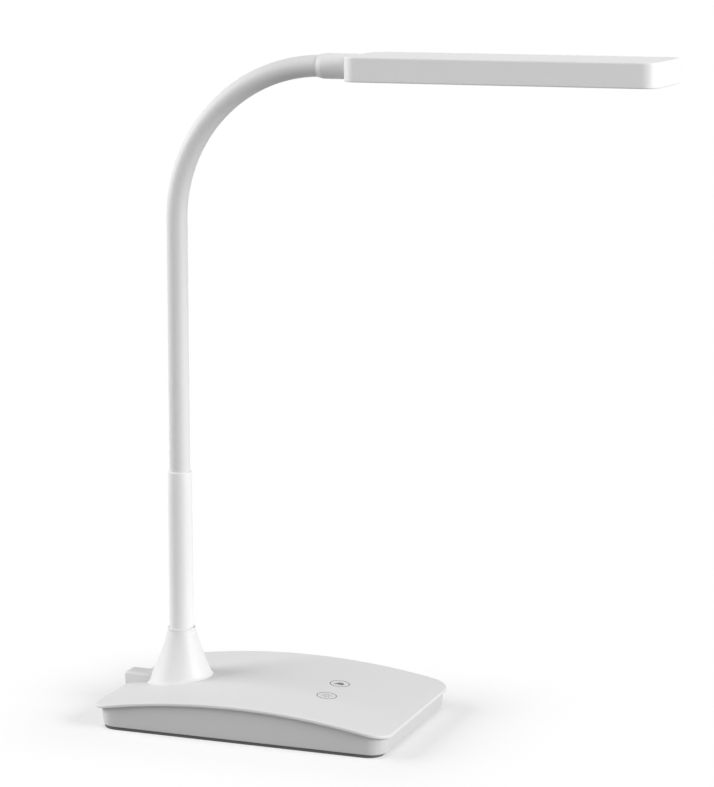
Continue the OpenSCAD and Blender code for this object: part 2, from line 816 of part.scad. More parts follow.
module head_shell() {
    inner_r = head_corner_r - head_wall;
    color(WHITE) union() {
        difference() {
            translate([0, 0, head_low]) linear_extrude(head_t)
                round_plate(head_x, head_end, head_w / 2, head_corner_r);
            translate([0, 0, head_low - past]) linear_extrude(head_t - head_wall + past)
                round_plate(head_x + head_wall, head_end - head_wall, head_w / 2 - head_wall, inner_r);
            translate([head_x - past, 0, axis_z])
                rotate([0, 90, 0]) cylinder(r = spigot_d / 2 + swivel_fit, h = head_wall + 2 * past);
        }
        for (x = [led_board_x + led_post_x, led_board_end - led_post_x], s = [-1, 1])
            translate([x, s * (led_board_y - led_post_y), led_board_z + led_board_t])
                difference() {
                    cylinder(d = led_post_d, h = head_top - head_wall / 2 - led_board_z - led_board_t);
                    translate([0, 0, -past]) cylinder(d = led_screw_d + fit, h = led_pilot_l + past);
                }
        for (s = [-1, 1])
            translate([frame_screw_x, s * frame_screw_y, frame_top])
                difference() {
                    cylinder(d = led_post_d, h = head_top - head_wall / 2 - frame_top);
                    translate([0, 0, -past]) cylinder(d = led_screw_d + fit, h = frame_screw_l + past);
                }
    }
}

module diffuser_frame() {
    inset = head_wall + 0.15;
    color(WHITE) translate([0, 0, head_low]) difference() {
        linear_extrude(frame_t) difference() {
            round_plate(head_x + inset, head_end - inset, head_w / 2 - inset, head_corner_r - inset);
            round_plate(window_x, window_end, window_y, 4);
        }
        for (s = [-1, 1])
            translate([frame_screw_x, s * frame_screw_y, -past]) {
                cylinder(d = led_screw_d + 2 * fit, h = frame_t + 2 * past);
                cylinder(d = small_head_d + 2 * fit, h = past + small_head_t - head_recess);
            }
    }
}

module diffuser() {
    color(OPAL) translate([0, 0, frame_top]) linear_extrude(diffuser_t)
        round_plate(window_x - lip, window_end + lip, window_y + lip, 5);
}

module led_board() {
    color(STEEL) translate([0, 0, led_board_z]) difference() {
        linear_extrude(led_board_t)
            round_plate(led_board_x, led_board_end, led_board_y, 2);
        for (x = [led_board_x + led_post_x, led_board_end - led_post_x], s = [-1, 1])
            translate([x, s * (led_board_y - led_post_y), -past])
                cylinder(d = led_screw_d + fit, h = led_board_t + 2 * past);
    }
}

module led_chips() {
    pitch = (led_board_end - led_board_x - 2 * led_end_margin) / (led_count - 1);
    row_gap = 2 * (led_board_y - led_side_margin) / max(led_rows, 2);
    color(LED_YELLOW)
        for (i = [0 : led_count - 1], j = [0 : led_rows - 1])
            translate([
                led_board_x + led_end_margin + i * pitch - led_size[0] / 2,
                (j - (led_rows - 1) / 2) * row_gap - led_size[1] / 2,
                led_board_z - led_size[2]
            ]) cube(led_size);
}

module led_board_screws() {
    color(STEEL) for (x = [led_board_x + led_post_x, led_board_end - led_post_x], s = [-1, 1])
        translate([x, s * (led_board_y - led_post_y), led_board_z - small_head_t])
            screw_up(led_screw_d, led_board_t + led_screw_bite, small_head_d, small_head_t);
}

module frame_screws() {
    color(STEEL) for (s = [-1, 1])
        translate([frame_screw_x, s * frame_screw_y, head_low - head_recess + 2 * fit])
            screw_up(led_screw_d, frame_screw_l, small_head_d, small_head_t - head_recess);
}

// Lead through the swivel to the LED board, on the swivel's axis where it turns
module head_lead() {
    color(WHITE)
        wire([
            [collar_x + core_reach + lead_d, 0, axis_z], [collar_end + spigot_l, 0, axis_z],
            [led_board_x + 2 * lead_d, 0, led_board_z - lead_d / 2],
            [led_board_x + 4 * lead_d, 0, led_board_z - lead_d / 2]
        ], lead_d, [0, 1, 0]);
}

// ---------------------------------------------------------------- assembly

top_cover();
lower_housing();
foot_mat();
ballast_plate();
ballast_screws();
cover_screws();
control_board();
board_components();
board_screws();
touch_springs();
dc_jack();
jack_pin();
jack_leads();
stem_fitting();
fitting_screws();
stem_sleeve();
neck_lead();
neck_core(0);  // neck_core_0
neck_core(1);  // neck_core_1
neck_core(2);  // neck_core_2
neck_core(3);  // neck_core_3
neck_core(4);  // neck_core_4
neck_core(5);  // neck_core_5
neck_core(6);  // neck_core_6
neck_core(7);  // neck_core_7
neck_core(8);  // neck_core_8
neck_core(9);  // neck_core_9
neck_core(10);  // neck_core_10
neck_core(11);  // neck_core_11
neck_core(12);  // neck_core_12
neck_sleeve(0);  // neck_sleeve_0
neck_sleeve(1);  // neck_sleeve_1
neck_sleeve(2);  // neck_sleeve_2
neck_sleeve(3);  // neck_sleeve_3
neck_sleeve(4);  // neck_sleeve_4
neck_sleeve(5);  // neck_sleeve_5
neck_sleeve(6);  // neck_sleeve_6
neck_sleeve(7);  // neck_sleeve_7
neck_sleeve(8);  // neck_sleeve_8
neck_sleeve(9);  // neck_sleeve_9
neck_sleeve(10);  // neck_sleeve_10
neck_sleeve(11);  // neck_sleeve_11
neck_sleeve(12);  // neck_sleeve_12
collar();
stop_pin();
retaining_ring();
head_shell();
swivel_block();
diffuser_frame();
diffuser();
led_board();
led_chips();
led_board_screws();
frame_screws();
head_lead();
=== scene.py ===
"""Looks of the gooseneck desk lamp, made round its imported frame."""

import json
import math

import bmesh
import bpy
from mathutils import Matrix, Vector


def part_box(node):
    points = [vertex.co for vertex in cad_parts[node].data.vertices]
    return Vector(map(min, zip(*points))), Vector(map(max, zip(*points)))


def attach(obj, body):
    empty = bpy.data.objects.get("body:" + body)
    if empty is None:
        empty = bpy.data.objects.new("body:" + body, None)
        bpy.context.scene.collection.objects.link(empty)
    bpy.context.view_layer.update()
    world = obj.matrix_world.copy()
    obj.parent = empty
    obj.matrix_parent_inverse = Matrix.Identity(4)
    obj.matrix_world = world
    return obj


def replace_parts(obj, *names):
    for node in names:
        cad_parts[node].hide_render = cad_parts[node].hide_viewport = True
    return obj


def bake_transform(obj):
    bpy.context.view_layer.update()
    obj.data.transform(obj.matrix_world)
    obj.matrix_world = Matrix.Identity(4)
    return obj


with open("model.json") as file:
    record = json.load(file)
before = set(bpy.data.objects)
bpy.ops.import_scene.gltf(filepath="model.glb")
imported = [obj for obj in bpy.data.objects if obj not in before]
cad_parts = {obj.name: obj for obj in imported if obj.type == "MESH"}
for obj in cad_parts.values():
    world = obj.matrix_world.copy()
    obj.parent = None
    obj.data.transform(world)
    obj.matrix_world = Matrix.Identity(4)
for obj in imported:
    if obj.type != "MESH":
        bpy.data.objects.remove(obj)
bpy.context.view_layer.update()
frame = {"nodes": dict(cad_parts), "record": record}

MM = 0.001

# Base, as the part's source has it, in millimetres
DECK_L, DECK_W, DECK_T, DECK_H, ARCH_R = 210.0, 137.0, 2.3, 26.0, 516.0
DECK_FRONT_R, DECK_REAR_R = 14.5, 16.0
REAR_SETBACK = 2.0
DECK_OVERHANG, SIDE_DRAFT = 2.2, 1.1
MAT_T, MAT_INSET, MAT_FRONT_SETBACK = 2.2, 0.8, 1.8
FLOOR_T, BASE_WALL = 2.6, 2.2
DECK_GAP = 0.2
NECK_X = -66.5
CONE_TOP_Z = 57.0
INLET_Y, INLET_W, INLET_TOP, INLET_FOOT = -3.25, 14.5, 24.0, 6.2
JACK_Z, JACK_MOUTH_D = 15.7, 8.0
CAVITY_X, CAVITY_END, JACK_REST_X, JACK_HALF_H = -102.4, -88.4, -98.85, 5.6

# Neck and collar
STEM_FOOT_Z, STEM_TOP_Z, STEM_FOOT_D, STEM_TOP_D = 30.0, 165.0, 16.7, 16.2
NECK_D, CORE_FIT_D = 14.0, 9.9
STRAIGHT_L, BOW_R = 170.4, 103.0
BOW_BASE_Z = STEM_TOP_Z + STRAIGHT_L
AXIS_Z = BOW_BASE_Z + BOW_R
BOW_END_X = NECK_X + BOW_R
COLLAR_X, COLLAR_END = BOW_END_X - 1.6, BOW_END_X + 24.8

# Head
HEAD_X, HEAD_L, HEAD_W, HEAD_T, HEAD_R, HEAD_WALL = 61.5, 204.5, 68.0, 16.0, 10.0, 1.8
HEAD_LOW, HEAD_TOP = AXIS_Z - HEAD_T / 2, AXIS_Z + HEAD_T / 2
FRAME_T, DIFFUSER_T, LED_BOARD_T = 1.6, 2.0, 1.2
FRAME_TOP, LED_BOARD_Z = HEAD_LOW + FRAME_T, HEAD_TOP - HEAD_WALL - 4.6
WINDOW_X, WINDOW_END = HEAD_X + 22, HEAD_X + HEAD_L - HEAD_WALL - 5
WINDOW_Y = HEAD_W / 2 - HEAD_WALL - 5
FRAME_SCREW_X, FRAME_SCREW_Y = HEAD_X + HEAD_WALL + 4.9, HEAD_W / 2 - HEAD_WALL - 8
LED_POST_X, LED_POST_Y = (WINDOW_X + 10, WINDOW_END - 10), WINDOW_Y - 8


# ------------------------------------------------------------- mesh helpers


def piece_from(name, verts, faces, sharp_deg=32.0):
    """A new object from millimetre points, shaded smooth except over sharp edges."""
    mesh = bpy.data.meshes.new(name)
    mesh.from_pydata([[c * MM for c in v] for v in verts], [], faces)
    mesh.validate()
    bm = bmesh.new()
    bm.from_mesh(mesh)
    bmesh.ops.remove_doubles(bm, verts=bm.verts, dist=1e-7)
    bmesh.ops.dissolve_degenerate(bm, edges=bm.edges, dist=1e-8)
    bmesh.ops.recalc_face_normals(bm, faces=bm.faces)
    limit = math.radians(sharp_deg)
    for face in bm.faces:
        face.smooth = True
    for edge in bm.edges:
        if edge.is_manifold and edge.calc_face_angle(0) > limit:
            edge.smooth = False
    bm.to_mesh(mesh)
    bm.free()
    obj = bpy.data.objects.new(name, mesh)
    bpy.context.scene.collection.objects.link(obj)
    return obj


def loft(rings, close_ends=True):
    """Quads between rings of equal length, each ring closed on itself."""
    n = len(rings[0])
    verts = [p for ring in rings for p in ring]
    faces = []
    for k in range(len(rings) - 1):
        for i in range(n):
            j = (i + 1) % n
            faces.append((k * n + i, k * n + j, (k + 1) * n + j, (k + 1) * n + i))
    if close_ends:
        faces.append(tuple(range(n))[::-1])
        faces.append(tuple((len(rings) - 1) * n + i for i in range(n)))
    return verts, faces


def tube(name, rings):
    """A tube from rings that run along its outside and back along its bore."""
    n, last = len(rings[0]), (len(rings) - 1) * len(rings[0])
    verts, faces = loft(rings, close_ends=False)
    faces += [(last + i, last + (i + 1) % n, (i + 1) % n, i) for i in range(n)]
    return piece_from(name, verts, faces, 40)


def revolve(profile, place, sides=96):
    """A closed outline of (radius, height) pairs turned round an axis by place()."""
    n = len(profile)
    verts, faces = [], []
    for i in range(sides):
        a = 2 * math.pi * i / sides
        verts += [place(r * math.cos(a), r * math.sin(a), h) for r, h in profile]
    for i in range(sides):
        j = (i + 1) % sides
        for k in range(n):
            m = (k + 1) % n
            if profile[k][0] < 1e-9 and profile[m][0] < 1e-9:
                continue
            faces.append((i * n + k, j * n + k, j * n + m, i * n + m))
    return verts, faces


def rounded(points, radii, steps=5):
    """A closed outline with its corners rounded, where a corner's radius isn't 0."""
    out = []
    n = len(points)
    for i, (p, r) in enumerate(zip(points, radii)):
        if r <= 0:
            out.append(tuple(p))
            continue
        a = Vector(points[i - 1]) - Vector(p)
        b = Vector(points[(i + 1) % n]) - Vector(p)
        half = a.angle(b) / 2
        reach = min(r / math.tan(half), a.length * 0.49, b.length * 0.49)
        r = reach * math.tan(half)
        a.normalize()
        b.normalize()
        start, end = Vector(p) + a * reach, Vector(p) + b * reach
        centre = Vector(p) + (a + b).normalized() * (r / math.sin(half))
        u, v = start - centre, end - centre
        turn = u.angle(v)
        for s in range(steps + 1):
            t = s / steps
            w = (u * math.sin((1 - t) * turn) + v * math.sin(t * turn)) / math.sin(turn)
            out.append(tuple(centre + w))
    return out


def deck_z(x):
    """Height of the deck's upper face at x."""
    return DECK_H - ARCH_R + math.sqrt(ARCH_R * ARCH_R - x * x)


def arc_points(cx, cy, r, a0, a1, steps):
    return [
        (
            cx + r * math.cos(math.radians(a0 + (a1 - a0) * s / steps)),
            cy + r * math.sin(math.radians(a0 + (a1 - a0) * s / steps)),
        )
        for s in range(steps + 1)
    ]


def quarter(step):
    """Sine and cosine of the angles of a quarter turn, a step of degrees apart."""
    turns = [math.radians(a) for a in range(0, 91, step)]
    return [(math.sin(a), math.cos(a)) for a in turns]


def base_outline(inset, set_back=REAR_SETBACK, corner=14, side=64, end=24):
    """The base's outline, inset all round, with the same number of points at any inset."""
    x, y, rear = DECK_L / 2 - inset, DECK_W / 2 - inset, set_back + inset - DECK_L / 2
    rf, rr = max(DECK_FRONT_R - inset, 0.6), max(DECK_REAR_R - inset, 0.6)
    run = x - rear - rf - rr
    pts = arc_points(x - rf, y - rf, rf, 0, 90, corner)
    pts += [(x - rf - run * s / side, y) for s in range(1, side)]
    pts += arc_points(rear + rr, y - rr, rr, 90, 180, corner)
    pts += [(rear, y - rr - (2 * y - 2 * rr) * s / end) for s in range(1, end)]
    pts += arc_points(rear + rr, -y + rr, rr, 180, 270, corner)
    pts += [(rear + rr + run * s / side, -y) for s in range(1, side)]
    pts += arc_points(x - rf, -y + rf, rf, 270, 360, corner)
    pts += [(x, -y + rf + (2 * y - 2 * rf) * s / end) for s in range(1, end)]
    return pts


def plate_outline(x0, x1, half_w, r, corner=12):
    """A rounded rectangle in plan."""
    pts = arc_points(x1 - r, half_w - r, r, 0, 90, corner)
    pts += arc_points(x0 + r, half_w - r, r, 90, 180, corner)
    pts += arc_points(x0 + r, -half_w + r, r, 180, 270, corner)
    pts += arc_points(x1 - r, -half_w + r, r, 270, 360, corner)
    return pts


def cut(obj, cutter):
    """Takes the cutter's solid out of obj, and removes the cutter."""
    mod = obj.modifiers.new("cut", "BOOLEAN")
    mod.operation = "DIFFERENCE"
    mod.solver = "EXACT"
    mod.object = cutter
    apply_modifiers(obj)
    bpy.data.objects.remove(cutter)


def apply_modifiers(obj):
    """Makes obj's evaluated shape its own mesh."""
    bpy.context.view_layer.update()
    graph = bpy.context.evaluated_depsgraph_get()
    mesh = bpy.data.meshes.new_from_object(obj.evaluated_get(graph))
    obj.modifiers.clear()
    obj.data = mesh


def revolved(name, profile, place, sides=96, sharp_deg=32.0):
    verts, faces = revolve(profile, place, sides)
    return piece_from(name, verts, faces, sharp_deg)


def box_solid(name, low, high):
    (x0, y0, z0), (x1, y1, z1) = low, high
    ring = [(x0, y0), (x1, y0), (x1, y1), (x0, y1)]
    verts, faces = loft([[(x, y, z) for x, y in ring] for z in (z0, z1)])
    return piece_from(name, verts, faces)


def joined(name, pieces):
    """One object from several that ride on the same body."""
    bm = bmesh.new()
    for piece in pieces:
        bm.from_mesh(piece.data)
        bpy.data.objects.remove(piece)
    mesh = bpy.data.meshes.new(name)
    bm.to_mesh(mesh)
    bm.free()
    obj = bpy.data.objects.new(name, mesh)
    bpy.context.scene.collection.objects.link(obj)
    return obj


# ------------------------------------------------------------- camera and studio

PHOTO_H = 787
CAMERA_PLACE = (0.66697, -1.64365, 0.53689)

# Light that reaches shaded sides, and soft boxes by name, place, size and level, in metres
WORLD_LEVEL, LIT_MIDDLE = 0.2, (0.05, 0, 0.2)
SOFT_BOXES = (
    ("soft_box_right", (3.85, -0.72, 1.6), (2.2, 2.4), 0.98),
    ("soft_box_left", (-3.7, -1.0, 1.8), (3.4, 2.8), 0.94),
    ("soft_box_top", (0.0, -1.3, 2.2), (1.6, 1.2), 0.05),
)

# Floor: share of plain white under the base, its strength there, the grey that scattered light
# meets, and the distances from the base over which both run out to white
FLOOR_LIFT, FLOOR_WHITE, FLOOR_BOUNCE, FLOOR_FADE = 0.4, 1.13, 0.34, (0.0, 0.12)


def photo_camera():
    """The photograph's viewpoint, solved from the lamp's edges in it."""
    azimuth, elevation = math.radians(20.246), math.radians(10.071)
    focal_px, sensor = 2720.2, 36.0
    data = bpy.data.cameras.new("camera")
    data.sensor_width = sensor
    data.lens = focal_px * sensor / PHOTO_H
    data.clip_start, data.clip_end = 0.05, 50
    cam = bpy.data.objects.new("camera", data)
    bpy.context.scene.collection.objects.link(cam)
    right = Vector((math.cos(azimuth), math.sin(azimuth), 0))
    ahead = Vector(
        (
            -math.sin(azimuth) * math.cos(elevation),
            math.cos(azimuth) * math.cos(elevation),
            -math.sin(elevation),
        )
    )
    up = right.cross(ahead)
    turn = Matrix((right, up, -ahead)).transposed().to_4x4()
    cam.matrix_world = Matrix.Translation(CAMERA_PLACE) @ turn
    bpy.context.scene.camera = cam


def soft_box(name, place, aim, size, level):
    """A soft box that lights a surface facing it at aim to the given level, where 1 is full."""
    reach = (Vector(aim) - Vector(place)).length
    data = bpy.data.lights.new(name, "AREA")
    data.shape = "RECTANGLE"
    data.size, data.size_y = size
    data.energy = level * (math.pi * reach) ** 2
    lamp = bpy.data.objects.new(name, data)
    bpy.context.scene.collection.objects.link(lamp)
    lamp.location = place
    lamp.rotation_euler = (Vector(aim) - Vector(place)).to_track_quat("-Z", "Y").to_euler()
    lamp.visible_camera = False


def seen_directly(nodes, links):
    """1 for camera, glossy and transmission rays, 0 for light that is scattered."""
    path = nodes.new("ShaderNodeLightPath")
    total = None
    for ray in ("Is Camera Ray", "Is Glossy Ray", "Is Transmission Ray"):
        if total is None:
            total = path.outputs[ray]
            continue
        most = nodes.new("ShaderNodeMath")
        most.operation = "MAXIMUM"
        links.new(total, most.inputs[0])
        links.new(path.outputs[ray], most.inputs[1])
        total = most.outputs[0]
    return total


def studio_world(level):
    world = bpy.data.worlds.new("studio")
    bpy.context.scene.world = world
    world.use_nodes = True
    nodes, links = world.node_tree.nodes, world.node_tree.links
    nodes.clear()
    mix, out = nodes.new("ShaderNodeMixShader"), nodes.new("ShaderNodeOutputWorld")
    links.new(seen_directly(nodes, links), mix.inputs[0])
    for socket, strength in ((1, level), (2, 1.0)):
        back = nodes.new("ShaderNodeBackground")
        back.inputs["Color"].default_value = (1, 1, 1, 1)
        back.inputs["Strength"].default_value = strength
        links.new(back.outputs[0], mix.inputs[socket])
    links.new(mix.outputs[0], out.inputs["Surface"])


def studio_floor():
    """A large pale floor that keeps the lamp's soft shadow and runs out white."""
    half = 6.0
    mesh = bpy.data.meshes.new("floor")
    corners = [(-half, -half, 0), (half, -half, 0), (half, half, 0), (-half, half, 0)]
    mesh.from_pydata(corners, [], [(0, 1, 2, 3)])
    floor = bpy.data.objects.new("floor", mesh)
    bpy.context.scene.collection.objects.link(floor)
    mat = bpy.data.materials.new("pale_floor")
    mat.use_nodes = True
    tree = mat.node_tree
    nodes, links = tree.nodes, tree.links
    nodes.clear()
    # How far a point is from the base's footprint
    place = node_in(tree, "ShaderNodeTexCoord").outputs["Object"]
    folded = node_in(tree, "ShaderNodeVectorMath", links={0: place}, operation="ABSOLUTE")
    beyond = node_in(
        tree, "ShaderNodeVectorMath", {1: (DECK_L / 2 * MM, DECK_W / 2 * MM, 0)},
        {0: folded.outputs[0]}, operation="SUBTRACT",
    )
    outside = node_in(
        tree, "ShaderNodeVectorMath", {1: (0, 0, 0)}, {0: beyond.outputs[0]}, operation="MAXIMUM"
    )
    reach = node_in(tree, "ShaderNodeVectorMath", links={0: outside.outputs[0]}, operation="LENGTH")

    def by_reach(near, far):
        return node_in(
            tree, "ShaderNodeMapRange",
            {"From Min": FLOOR_FADE[0], "From Max": FLOOR_FADE[1], "To Min": near, "To Max": far},
            {"Value": reach.outputs["Value"]}, interpolation_type="SMOOTHSTEP",
        ).outputs["Result"]

    def diffuse(grey):
        return node_in(tree, "ShaderNodeBsdfDiffuse", {"Color": (grey, grey, grey, 1)}).outputs[0]

    white = node_in(tree, "ShaderNodeEmission", links={"Strength": by_reach(FLOOR_WHITE, 1.0)})
    shown = node_in(
        tree, "ShaderNodeMixShader",
        links={0: by_reach(FLOOR_LIFT, 1.0), 1: diffuse(0.9), 2: white.outputs[0]},
    )
    mix = node_in(
        tree, "ShaderNodeMixShader",
        links={0: seen_directly(nodes, links), 1: diffuse(FLOOR_BOUNCE), 2: shown.outputs[0]},
    )
    node_in(tree, "ShaderNodeOutputMaterial", links={"Surface": mix.outputs[0]})
    mesh.materials.append(mat)


def studio():
    photo_camera()
    bpy.context.scene.view_settings.view_transform = "Standard"
    studio_world(WORLD_LEVEL)
    studio_floor()
    for name, place, size, level in SOFT_BOXES:
        soft_box(name, place, LIT_MIDDLE, size, level)


# ------------------------------------------------------------- shader groups


def shader_group(name, sockets_in, sockets_out):
    """An empty shader group with typed inputs and outputs."""
    tree = bpy.data.node_groups.new(name, "ShaderNodeTree")
    for label, kind, value in sockets_in:
        socket = tree.interface.new_socket(label, in_out="INPUT", socket_type=kind)
        if value is not None:
            socket.default_value = value
    for label, kind in sockets_out:
        tree.interface.new_socket(label, in_out="OUTPUT", socket_type=kind)
    return tree, tree.nodes.new("NodeGroupInput"), tree.nodes.new("NodeGroupOutput")


def node_in(tree, kind, values=None, links=None, **settings):
    """A node with its settings, unlinked values and incoming links."""
    made = tree.nodes.new(kind)
    for key, value in settings.items():
        setattr(made, key, value)
    for key, value in (values or {}).items():
        made.inputs[key].default_value = value
    for key, source in (links or {}).items():
        tree.links.new(source, made.inputs[key])
    return made


FLOAT, VECTOR, COLOUR = "NodeSocketFloat", "NodeSocketVector", "NodeSocketColor"


def moulded_grain_group():
    """Fine leather-like relief of a spark-eroded mould."""
    tree, given, result = shader_group(
        "moulded_grain",
        [("Vector", VECTOR, None), ("Scale", FLOAT, 1800.0)],
        [("Height", FLOAT)],
    )
    links = {"Vector": given.outputs["Vector"], "Scale": given.outputs["Scale"]}
    pits = node_in(tree, "ShaderNodeTexVoronoi", links=links, feature="SMOOTH_F1")
    haze = node_in(tree, "ShaderNodeTexNoise", {"Detail": 3.0, "Roughness": 0.6}, links)
    both = node_in(
        tree, "ShaderNodeMix", {"Factor": 0.45},
        {"A": pits.outputs["Distance"], "B": haze.outputs["Fac"]}, data_type="FLOAT",
    )
    tree.links.new(both.outputs["Result"], result.inputs["Height"])
    return tree


def tone_drift_group():
    """Slow change of a colour over a surface, and the same change as a value."""
    tree, given, result = shader_group(
        "tone_drift",
        [("Vector", VECTOR, None), ("Scale", FLOAT, 12.0), ("Amount", FLOAT, 0.03),
         ("Colour", COLOUR, (0.8, 0.8, 0.8, 1.0))],
        [("Colour", COLOUR), ("Value", FLOAT)],
    )
    cloud = node_in(
        tree, "ShaderNodeTexNoise", {"Detail": 4.0, "Roughness": 0.55},
        {"Vector": given.outputs["Vector"], "Scale": given.outputs["Scale"]},
    )
    centred = node_in(
        tree, "ShaderNodeMath", {1: 0.5}, {0: cloud.outputs["Fac"]}, operation="SUBTRACT"
    )
    swing = node_in(
        tree, "ShaderNodeMath", {2: 1.0},
        {0: centred.outputs[0], 1: given.outputs["Amount"]}, operation="MULTIPLY_ADD",
    )
    tinted = node_in(
        tree, "ShaderNodeVectorMath",
        links={0: given.outputs["Colour"], "Scale": swing.outputs[0]}, operation="SCALE",
    )
    tree.links.new(tinted.outputs["Vector"], result.inputs["Colour"])
    tree.links.new(cloud.outputs["Fac"], result.inputs["Value"])
    return tree


def edge_mask_group():
    """1 along convex and concave edges, broken up a little, 0 on flat faces."""
    tree, given, result = shader_group(
        "edge_mask",
        [("Vector", VECTOR, None), ("Radius", FLOAT, 0.0006)],
        [("Mask", FLOAT)],
    )
    bevel = node_in(
        tree, "ShaderNodeBevel", links={"Radius": given.outputs["Radius"]}, samples=4
    )
    real = node_in(tree, "ShaderNodeNewGeometry")
    along = node_in(
        tree, "ShaderNodeVectorMath",
        links={0: bevel.outputs["Normal"], 1: real.outputs["Normal"]}, operation="DOT_PRODUCT",
    )
    bent = node_in(
        tree, "ShaderNodeMapRange",
        {"From Min": 0.995, "From Max": 0.8, "To Min": 0.0, "To Max": 1.0},
        {"Value": along.outputs["Value"]},
    )
    # This noise breaks up the edge mask, for real wear and for the painted edge highlight alike.
    chips = node_in(
        tree, "ShaderNodeTexNoise", {"Scale": 400.0, "Detail": 3.0},
        {"Vector": given.outputs["Vector"]},
    )
    patchy = node_in(
        tree, "ShaderNodeMapRange",
        {"From Min": 0.35, "From Max": 0.65, "To Min": 0.4, "To Max": 1.0},
        {"Value": chips.outputs["Fac"]},
    )
    mask = node_in(
        tree, "ShaderNodeMath", links={0: bent.outputs["Result"], 1: patchy.outputs["Result"]},
        operation="MULTIPLY",
    )
    tree.links.new(mask.outputs[0], result.inputs["Mask"])
    return tree


def drawn_lines_group():
    """Fine lines along one axis, as drawn, brushed or wound metal has."""
    tree, given, result = shader_group(
        "drawn_lines",
        [("Vector", VECTOR, None), ("Stretch", VECTOR, (1.0, 1.0, 30.0)), ("Scale", FLOAT, 100.0)],
        [("Height", FLOAT)],
    )
    spread = node_in(
        tree, "ShaderNodeVectorMath",
        links={0: given.outputs["Vector"], 1: given.outputs["Stretch"]}, operation="MULTIPLY",
    )
    lines = node_in(
        tree, "ShaderNodeTexNoise", {"Detail": 3.0, "Roughness": 0.6},
        {"Vector": spread.outputs["Vector"], "Scale": given.outputs["Scale"]},
    )
    tree.links.new(lines.outputs["Fac"], result.inputs["Height"])
    return tree


GROUPS = {}


def build_groups():
    GROUPS["grain"] = moulded_grain_group()
    GROUPS["drift"] = tone_drift_group()
    GROUPS["edges"] = edge_mask_group()
    GROUPS["lines"] = drawn_lines_group()


# ------------------------------------------------------------- materials


def grouped(tree, key, values, vector):
    used = node_in(tree, "ShaderNodeGroup", node_tree=GROUPS[key])
    for label, value in values.items():
        used.inputs[label].default_value = value
    tree.links.new(vector, used.inputs["Vector"])
    return used


def finish(name, colour, rough, drift=(14.0, 0.03), relief=("grain", {"Scale": 1800.0}),
           strength=0.12, depth=0.00004, edge=None, rough_swing=0.08, extra=None, pattern=None):
    """A material from a drifting colour, a relief, and edges turned towards a second colour: real
    wear on dark and metal finishes, a painted highlight on white plastics.
    """
    mat = bpy.data.materials.new(name)
    mat.use_nodes = True
    tree = mat.node_tree
    paint = tree.nodes["Principled BSDF"]
    spot = node_in(tree, "ShaderNodeTexCoord").outputs["Object"]
    tone = grouped(
        tree, "drift",
        {"Scale": drift[0], "Amount": drift[1], "Colour": (*colour, 1.0)}, spot,
    )
    shade, matt = tone.outputs["Colour"], node_in(
        tree, "ShaderNodeMapRange",
        {"To Min": rough - rough_swing / 2, "To Max": rough + rough_swing / 2},
        {"Value": tone.outputs["Value"]},
    ).outputs["Result"]
    height = grouped(tree, relief[0], relief[1], spot).outputs["Height"]
    if pattern:
        shade, matt, height = pattern(tree, spot, shade, matt, height)
    if edge:
        # Edges go towards the edge colour: real wear on dark and metal finishes, a painted
        # highlight where white plastics go lighter.
        mask = grouped(tree, "edges", {"Radius": edge["radius"]}, spot).outputs["Mask"]
        edge_wear_and_highlight = node_in(tree, "ShaderNodeMath", {1: edge["amount"]}, {0: mask}, operation="MULTIPLY")
        shade = blended(tree, edge_wear_and_highlight.outputs[0], shade, edge["colour"])
        matt = node_in(
            tree, "ShaderNodeMath", {1: -edge["polish"]}, {0: edge_wear_and_highlight.outputs[0], 2: matt},
            operation="MULTIPLY_ADD",
        ).outputs[0]
    bump = node_in(
        tree, "ShaderNodeBump", {"Strength": strength, "Distance": depth}, {"Height": height}
    )
    tree.links.new(shade, paint.inputs["Base Color"])
    tree.links.new(matt, paint.inputs["Roughness"])
    tree.links.new(bump.outputs["Normal"], paint.inputs["Normal"])
    for label, value in (extra or {}).items():
        paint.inputs[label].default_value = value
    return mat


def relief_of(tree, height, extra, amount):
    """Adds a second relief to a height."""
    return node_in(
        tree, "ShaderNodeMath", {1: amount}, {0: extra, 2: height}, operation="MULTIPLY_ADD"
    ).outputs[0]


def blended(tree, mask, base, colour):
    """Base colour where the mask is 0, the given colour or socket where it is 1."""
    mix = node_in(tree, "ShaderNodeMix", data_type="RGBA")
    colours = [s for s in mix.inputs if s.type == "RGBA"]
    if isinstance(colour, tuple):
        colours[1].default_value = (*colour, 1.0)
    else:
        tree.links.new(colour, colours[1])
    tree.links.new(mask, mix.inputs[0])
    tree.links.new(base, colours[0])
    return [s for s in mix.outputs if s.type == "RGBA"][0]


def board_traces(tree, spot, shade, matt, height):
    """Copper traces that show through a solder mask, standing up a little."""
    brick = node_in(
        tree, "ShaderNodeTexBrick",
        {"Scale": 120.0, "Mortar Size": 0.06, "Mortar Smooth": 0.3, "Brick Width": 0.9,
         "Row Height": 0.28}, {"Vector": spot}, offset=0.37, squash=1.4,
    )
    inverse = node_in(
        tree, "ShaderNodeMath", {0: 1.0}, {1: brick.outputs["Fac"]}, operation="SUBTRACT"
    )
    lighter = node_in(
        tree, "ShaderNodeVectorMath", {"Scale": 1.35}, {0: shade}, operation="SCALE"
    ).outputs["Vector"]
    shade = blended(tree, brick.outputs["Fac"], shade, lighter)
    return shade, matt, relief_of(tree, height, inverse.outputs[0], -0.8)


def rubber_tread(tree, spot, shade, matt, height):
    """Small round pips of a non-slip mat."""
    pips = node_in(
        tree, "ShaderNodeTexVoronoi", {"Scale": 420.0, "Randomness": 0.0}, {"Vector": spot}
    )
    return shade, matt, relief_of(tree, height, pips.outputs["Distance"], -1.5)


